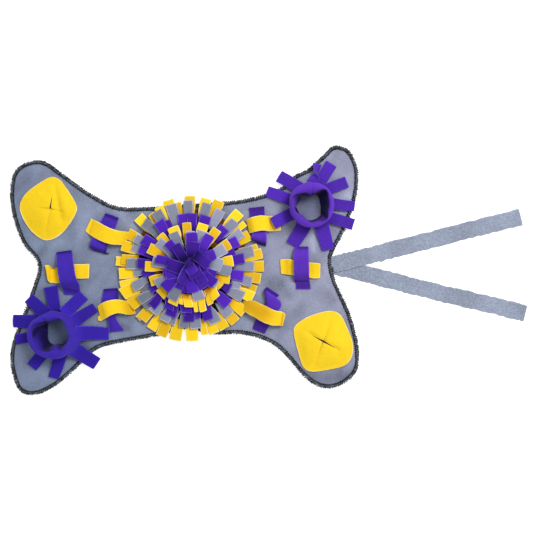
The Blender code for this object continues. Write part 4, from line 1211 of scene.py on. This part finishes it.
def strap(name, shade, painted_light_marks, table):
    """A strap sewn down at its two ends, with an arch or a bend between them."""
    rows, length, wide = [], 0, 0
    for edge_x, edge_y, other_x, other_y, height in table:
        side = Vector((other_x - edge_x, other_y - edge_y))
        middle = Vector(((edge_x + other_x) / 2, (edge_y + other_y) / 2, height))
        if rows:
            length += (middle - last).length
        last = middle
        wide += side.length / len(table)
        rows.append(strip_row(middle, SEWN + 0.05 + height, side, side.length))

    def shape(u, v):
        soft = 0.5 * math.sin(math.pi * v) + 0.2
        frayed = 0.5 * noise.noise((u * 7, v * 22, middle.x)) * (max(abs(u), abs(2 * v - 1)) > 0.99)
        return Vector((frayed, frayed, soft * noise.noise((u * 1.6, v * 5, middle.y))))

    bm = new_cloth()
    lightness = bm.verts.layers.float["lightness"]
    for vert in lay_strip(bm, rows, across=12, along=36, shape=shape, lightness=shade):
        # Painted shade and highlights at the strap's folds, curls and edges
        vert[lightness] += streaks(vert.co.x, vert.co.y, painted_light_marks)
    if name == "loop_bottom_left_yellow":
        knob = [(KNOB_X, y, SEAT + 2, 1, 0, 0, half) for y, half in KNOB]
        lay_strip(bm, knob, across=4, along=4)
    tint = "yellow" if name.endswith("yellow") else "purple"
    sew_up(name.replace("loop", "strap"), bm, tint, name,
           (wide * MM, length * MM, "folded", ["base_cloth"], None))


def tie(name, path):
    """A long tie that lies on the floor and butts against the overlocked edge."""
    points = [Vector((x, y, z + FLEECE / 2)) for x, y, z in path]
    rows = []
    for before, point, after in zip(points[:1] + points, points, points[1:] + points[-1:]):
        side = right_of(after - before).normalized()
        rows.append(strip_row(point, point.z, side, TIE_WIDTH))

    def shape(u, v):
        ragged = 2.1 * noise.noise((v * 70, u * 3, path[-1][1])) * (abs(u) > 0.999)
        ragged += 0.9 * noise.noise((v * 8, u * 2, path[-1][1])) * u * u
        return Vector((0.5 * ragged * (v > 0.99), ragged, 0.6 * noise.noise((v * 14, u, 2)) ** 2))

    bm = new_cloth()
    lay_strip(bm, rows, across=8, along=130, shape=shape)
    length = sum((b - a).length for a, b in zip(points, points[1:]))
    sew_up(name.replace("tie", "long_tie"), bm, "tie", name,
           (TIE_WIDTH * MM, length * MM, "laid", ["floor"], None), lying=False)


# ---------------------------------------------------------------- rosette

TAB_STATIONS = (0.3, 0.62, 1)
ROOT_PAINTED_SHADE = {"yellow": 0.6, "grey": 0.45, "purple": 0.6}   # how far along a tab runs painted shade from its root


def tab_rows(start, root_side, tip, ahead, root_width, width, heights, roll=0, sway=0):
    """Rows of a tab that leaves a strip at start and ends at tip, pointing ahead, all flat.

    Heights are the mid-heights at the root, a third, two thirds and the tip.
    """
    run = tip - start
    bend = tip - ahead * 0.55 * run.length
    side = right_of(ahead)
    inner = start - Vector((-root_side.y, root_side.x)) * TUCK
    rows = [strip_row(inner, heights[0] - 0.8, root_side, root_width)]
    for share, height in zip((0.03, *TAB_STATIONS), heights):
        middle = start * (1 - share) ** 2 + bend * 2 * share * (1 - share) + tip * share ** 2
        middle += side * sway * share * (1 - share)
        across = root_side.lerp(side, min(1, share * 1.6)).normalized()
        wide = root_width + (width - root_width) * ease(share / 0.5)
        rows.append(strip_row(middle, height, across, wide, roll * ease(share / 0.4)))
    return rows


def fringe(bm, number, centre, radius, root_width, root, level, table, dark):
    """The tabs that fan out from a tier's ring strip. Level gives the height of their slope."""
    apart = 2 * math.degrees(root_width / 2 / radius) + math.degrees(0.7 / radius)
    roots = spread([row[0] for row in table], apart)
    for k, (root_angle, (angle, reach, width, over, *askew)) in enumerate(zip(roots, table)):
        out, tip = way_at(root_angle), centre + way_at(angle) * reach
        start = centre + out * radius
        heights = [root]
        for share in TAB_STATIONS:
            heights.append(level((start + (tip - start) * share - centre).length, over))
        heights[-1] += 0.5 * chance(k, number, 1) + (0.5 if over else -0.5)
        roll = 8 * chance(k, number, 2)
        sway = 1.6 * chance(k, number, 3)
        ahead = way_at(angle + sum(askew))
        rows = tab_rows(start, right_of(out), tip, ahead, root_width, width, heights, roll, sway)
        curl = 1.6 * chance(k, number, 4) * (1 if over else 0.4)
        # Dark is how far along a tab runs painted shade from its root
        lay_strip(bm, rows, shape=cupped(0.8 * chance(k, number, 5), curl), lightness=chance(k, number, 6),
                  root=dark, bow=0.035 * chance(k, number, 7))


def tuft_tab(bm, number, row, inner):
    """A tab that rises steeply from the middle, bends over its crest and ends at its tip.

    Inner tabs get painted shade, most of all those towards +Y and least those towards -X.
    """
    tip_x, tip_y, heading, width, length, root_height, crest, tip_height, roll, curl = row
    ahead = way_at(heading)
    side = right_of(ahead)
    rows = []
    heights = (root_height, crest - 3.5, crest, (crest + tip_height) / 2 + 0.6, tip_height)
    sway = 1.5 * chance(number, tip_x)
    for share, height in zip((0, 0.16, 0.42, 0.72, 1), heights):
        place = Vector((tip_x, tip_y)) - ahead * length * (1 - share)
        place += side * sway * math.sin(math.pi * share)
        rows.append(strip_row(place, height, side, width, roll * (0.5 + 0.5 * share)))
    lightness = 0.7 * chance(number, tip_x, 3)
    if inner:
        lightness -= 0.8 + 1.1 * max(0, ahead.y) + 0.6 * min(0, ahead.x)
    lay_strip(bm, rows, across=8, along=14, shape=cupped(-1 + 0.8 * chance(number, tip_y), curl),
              lightness=lightness, root=0.75, bow=0.04)


def tier(name, number, tint, radius, lean, root_width=0, table=()):
    """One tier of the rosette. Its tabs lie on a cone that falls outwards, or stand in the tuft."""
    crown = TIER_FIRST + TIER_PITCH * number

    def level(distance, over):
        return crown - TIER_SLOPE * distance + OVER * over

    tuft = TUFT.get(name, ())
    root, top = level(radius, 0.5), level(radius, 0) - 3
    if not table:
        root = top = min(row[5] for row in tuft) - 0.5
    bm = new_cloth()
    centre = Vector((lean, 0))
    upright, flare = radius - 1.4, radius + FLARE * radius + 2
    ring_strip(bm, centre, [(wide, wide, height) for wide, height in (
        (upright, SEAT + 0.4), (upright, root - 5), (upright + 2, root - 3.2), (flare, top))])
    for k, row in enumerate(tuft):
        tuft_tab(bm, number * 20 + k, row, number >= INNER_TIER)
    fringe(bm, number, centre, radius, root_width, root, level, table, ROOT_PAINTED_SHADE[tint])
    band = root - SEAT + flare - upright
    cut = [(row[3], row[4]) for row in tuft] + [(row[2], row[1] - radius + TUCK) for row in table]
    tongue = sum(reach for _, reach in cut) / len(cut)
    long = 2 * math.pi * radius
    wide = (tongue + band) * MM
    length = max(long * MM, wide + MM, sum(width + 0.8 for width, _ in cut) * MM)
    area = (long * band + sum(width * reach for width, reach in cut)) * MM * MM
    finish = tint if tint == "yellow" else "fringe " + tint
    sew_up("fringe" + name[7:], bm, finish, name,
           (wide, length, "gathered", ["base_cloth"], min(area, 0.999 * wide * length)))


# ---------------------------------------------------------------- stage

WHITE = (1, 1, 1, 1)
FLOOR_HALF = 6          # half a side of the floor, in metres
WINDOW_AIM = Vector((0.05, 0, 0))


def stage():
    """The camera, the floor, the room's soft light and a window, in metres."""
    scene = bpy.context.scene
    lens = bpy.data.cameras.new("view from above")
    lens.lens = 85
    lens.sensor_width = 36
    lens.clip_end = 12
    camera = place_object("camera", lens)
    camera.location = (0.140, -0.0035, 2.23125)
    bpy.context.scene.camera = camera
    scene.view_settings.view_transform = "Standard"

    bm = bmesh.new()
    bmesh.ops.create_grid(bm, x_segments=1, y_segments=1, size=FLOOR_HALF)
    bmesh.ops.translate(bm, vec=(0.0, 0.0, -GAP * MM), verts=bm.verts)
    mesh = bpy.data.meshes.new("floor")
    bm.to_mesh(mesh)
    bm.free()
    pale, _ = new_finish("pale floor", {
        "Base Color": (0.80, 0.80, 0.80, 1), "Roughness": 1, "Specular IOR Level": 0,
        "Emission Color": WHITE, "Emission Strength": 0.55})
    mesh.materials.append(pale)
    floor = place_object("floor", mesh)

    world = bpy.data.worlds.new("soft room light")
    world.use_nodes = True
    sky = world.node_tree.nodes["Background"].inputs
    sky["Color"].default_value = WHITE
    sky["Strength"].default_value = 0.72
    scene.world = world
    window = bpy.data.lights.new("window", "AREA")
    window.shape = "SQUARE"
    window.size = 1.7
    window.energy = 158
    window.color = (1, 0.995, 0.98)
    lamp = place_object("window", window)
    lamp.location = (2, 1.8, 3.8)
    lamp.rotation_euler = (WINDOW_AIM - lamp.location).to_track_quat("-Z", "Y").to_euler()


stage()
mat_cloth()
overlocking()
for pocket_name, row in POCKETS.items():
    pocket(pocket_name, *row)
for count, (cup_name, foot_row) in enumerate(CUP_FEET.items()):
    collar(cup_name, foot_row, COLLARS[cup_name])
    skirt(cup_name, foot_row[:2], foot_row[2:4], 20 + count)
for strap_name, row in STRAPS.items():
    strap(strap_name, *row)
for order, (tier_name, row) in enumerate(TIERS.items()):
    tier(tier_name, order, *row)
for tie_name, row in TIES.items():
    tie(tie_name, row)
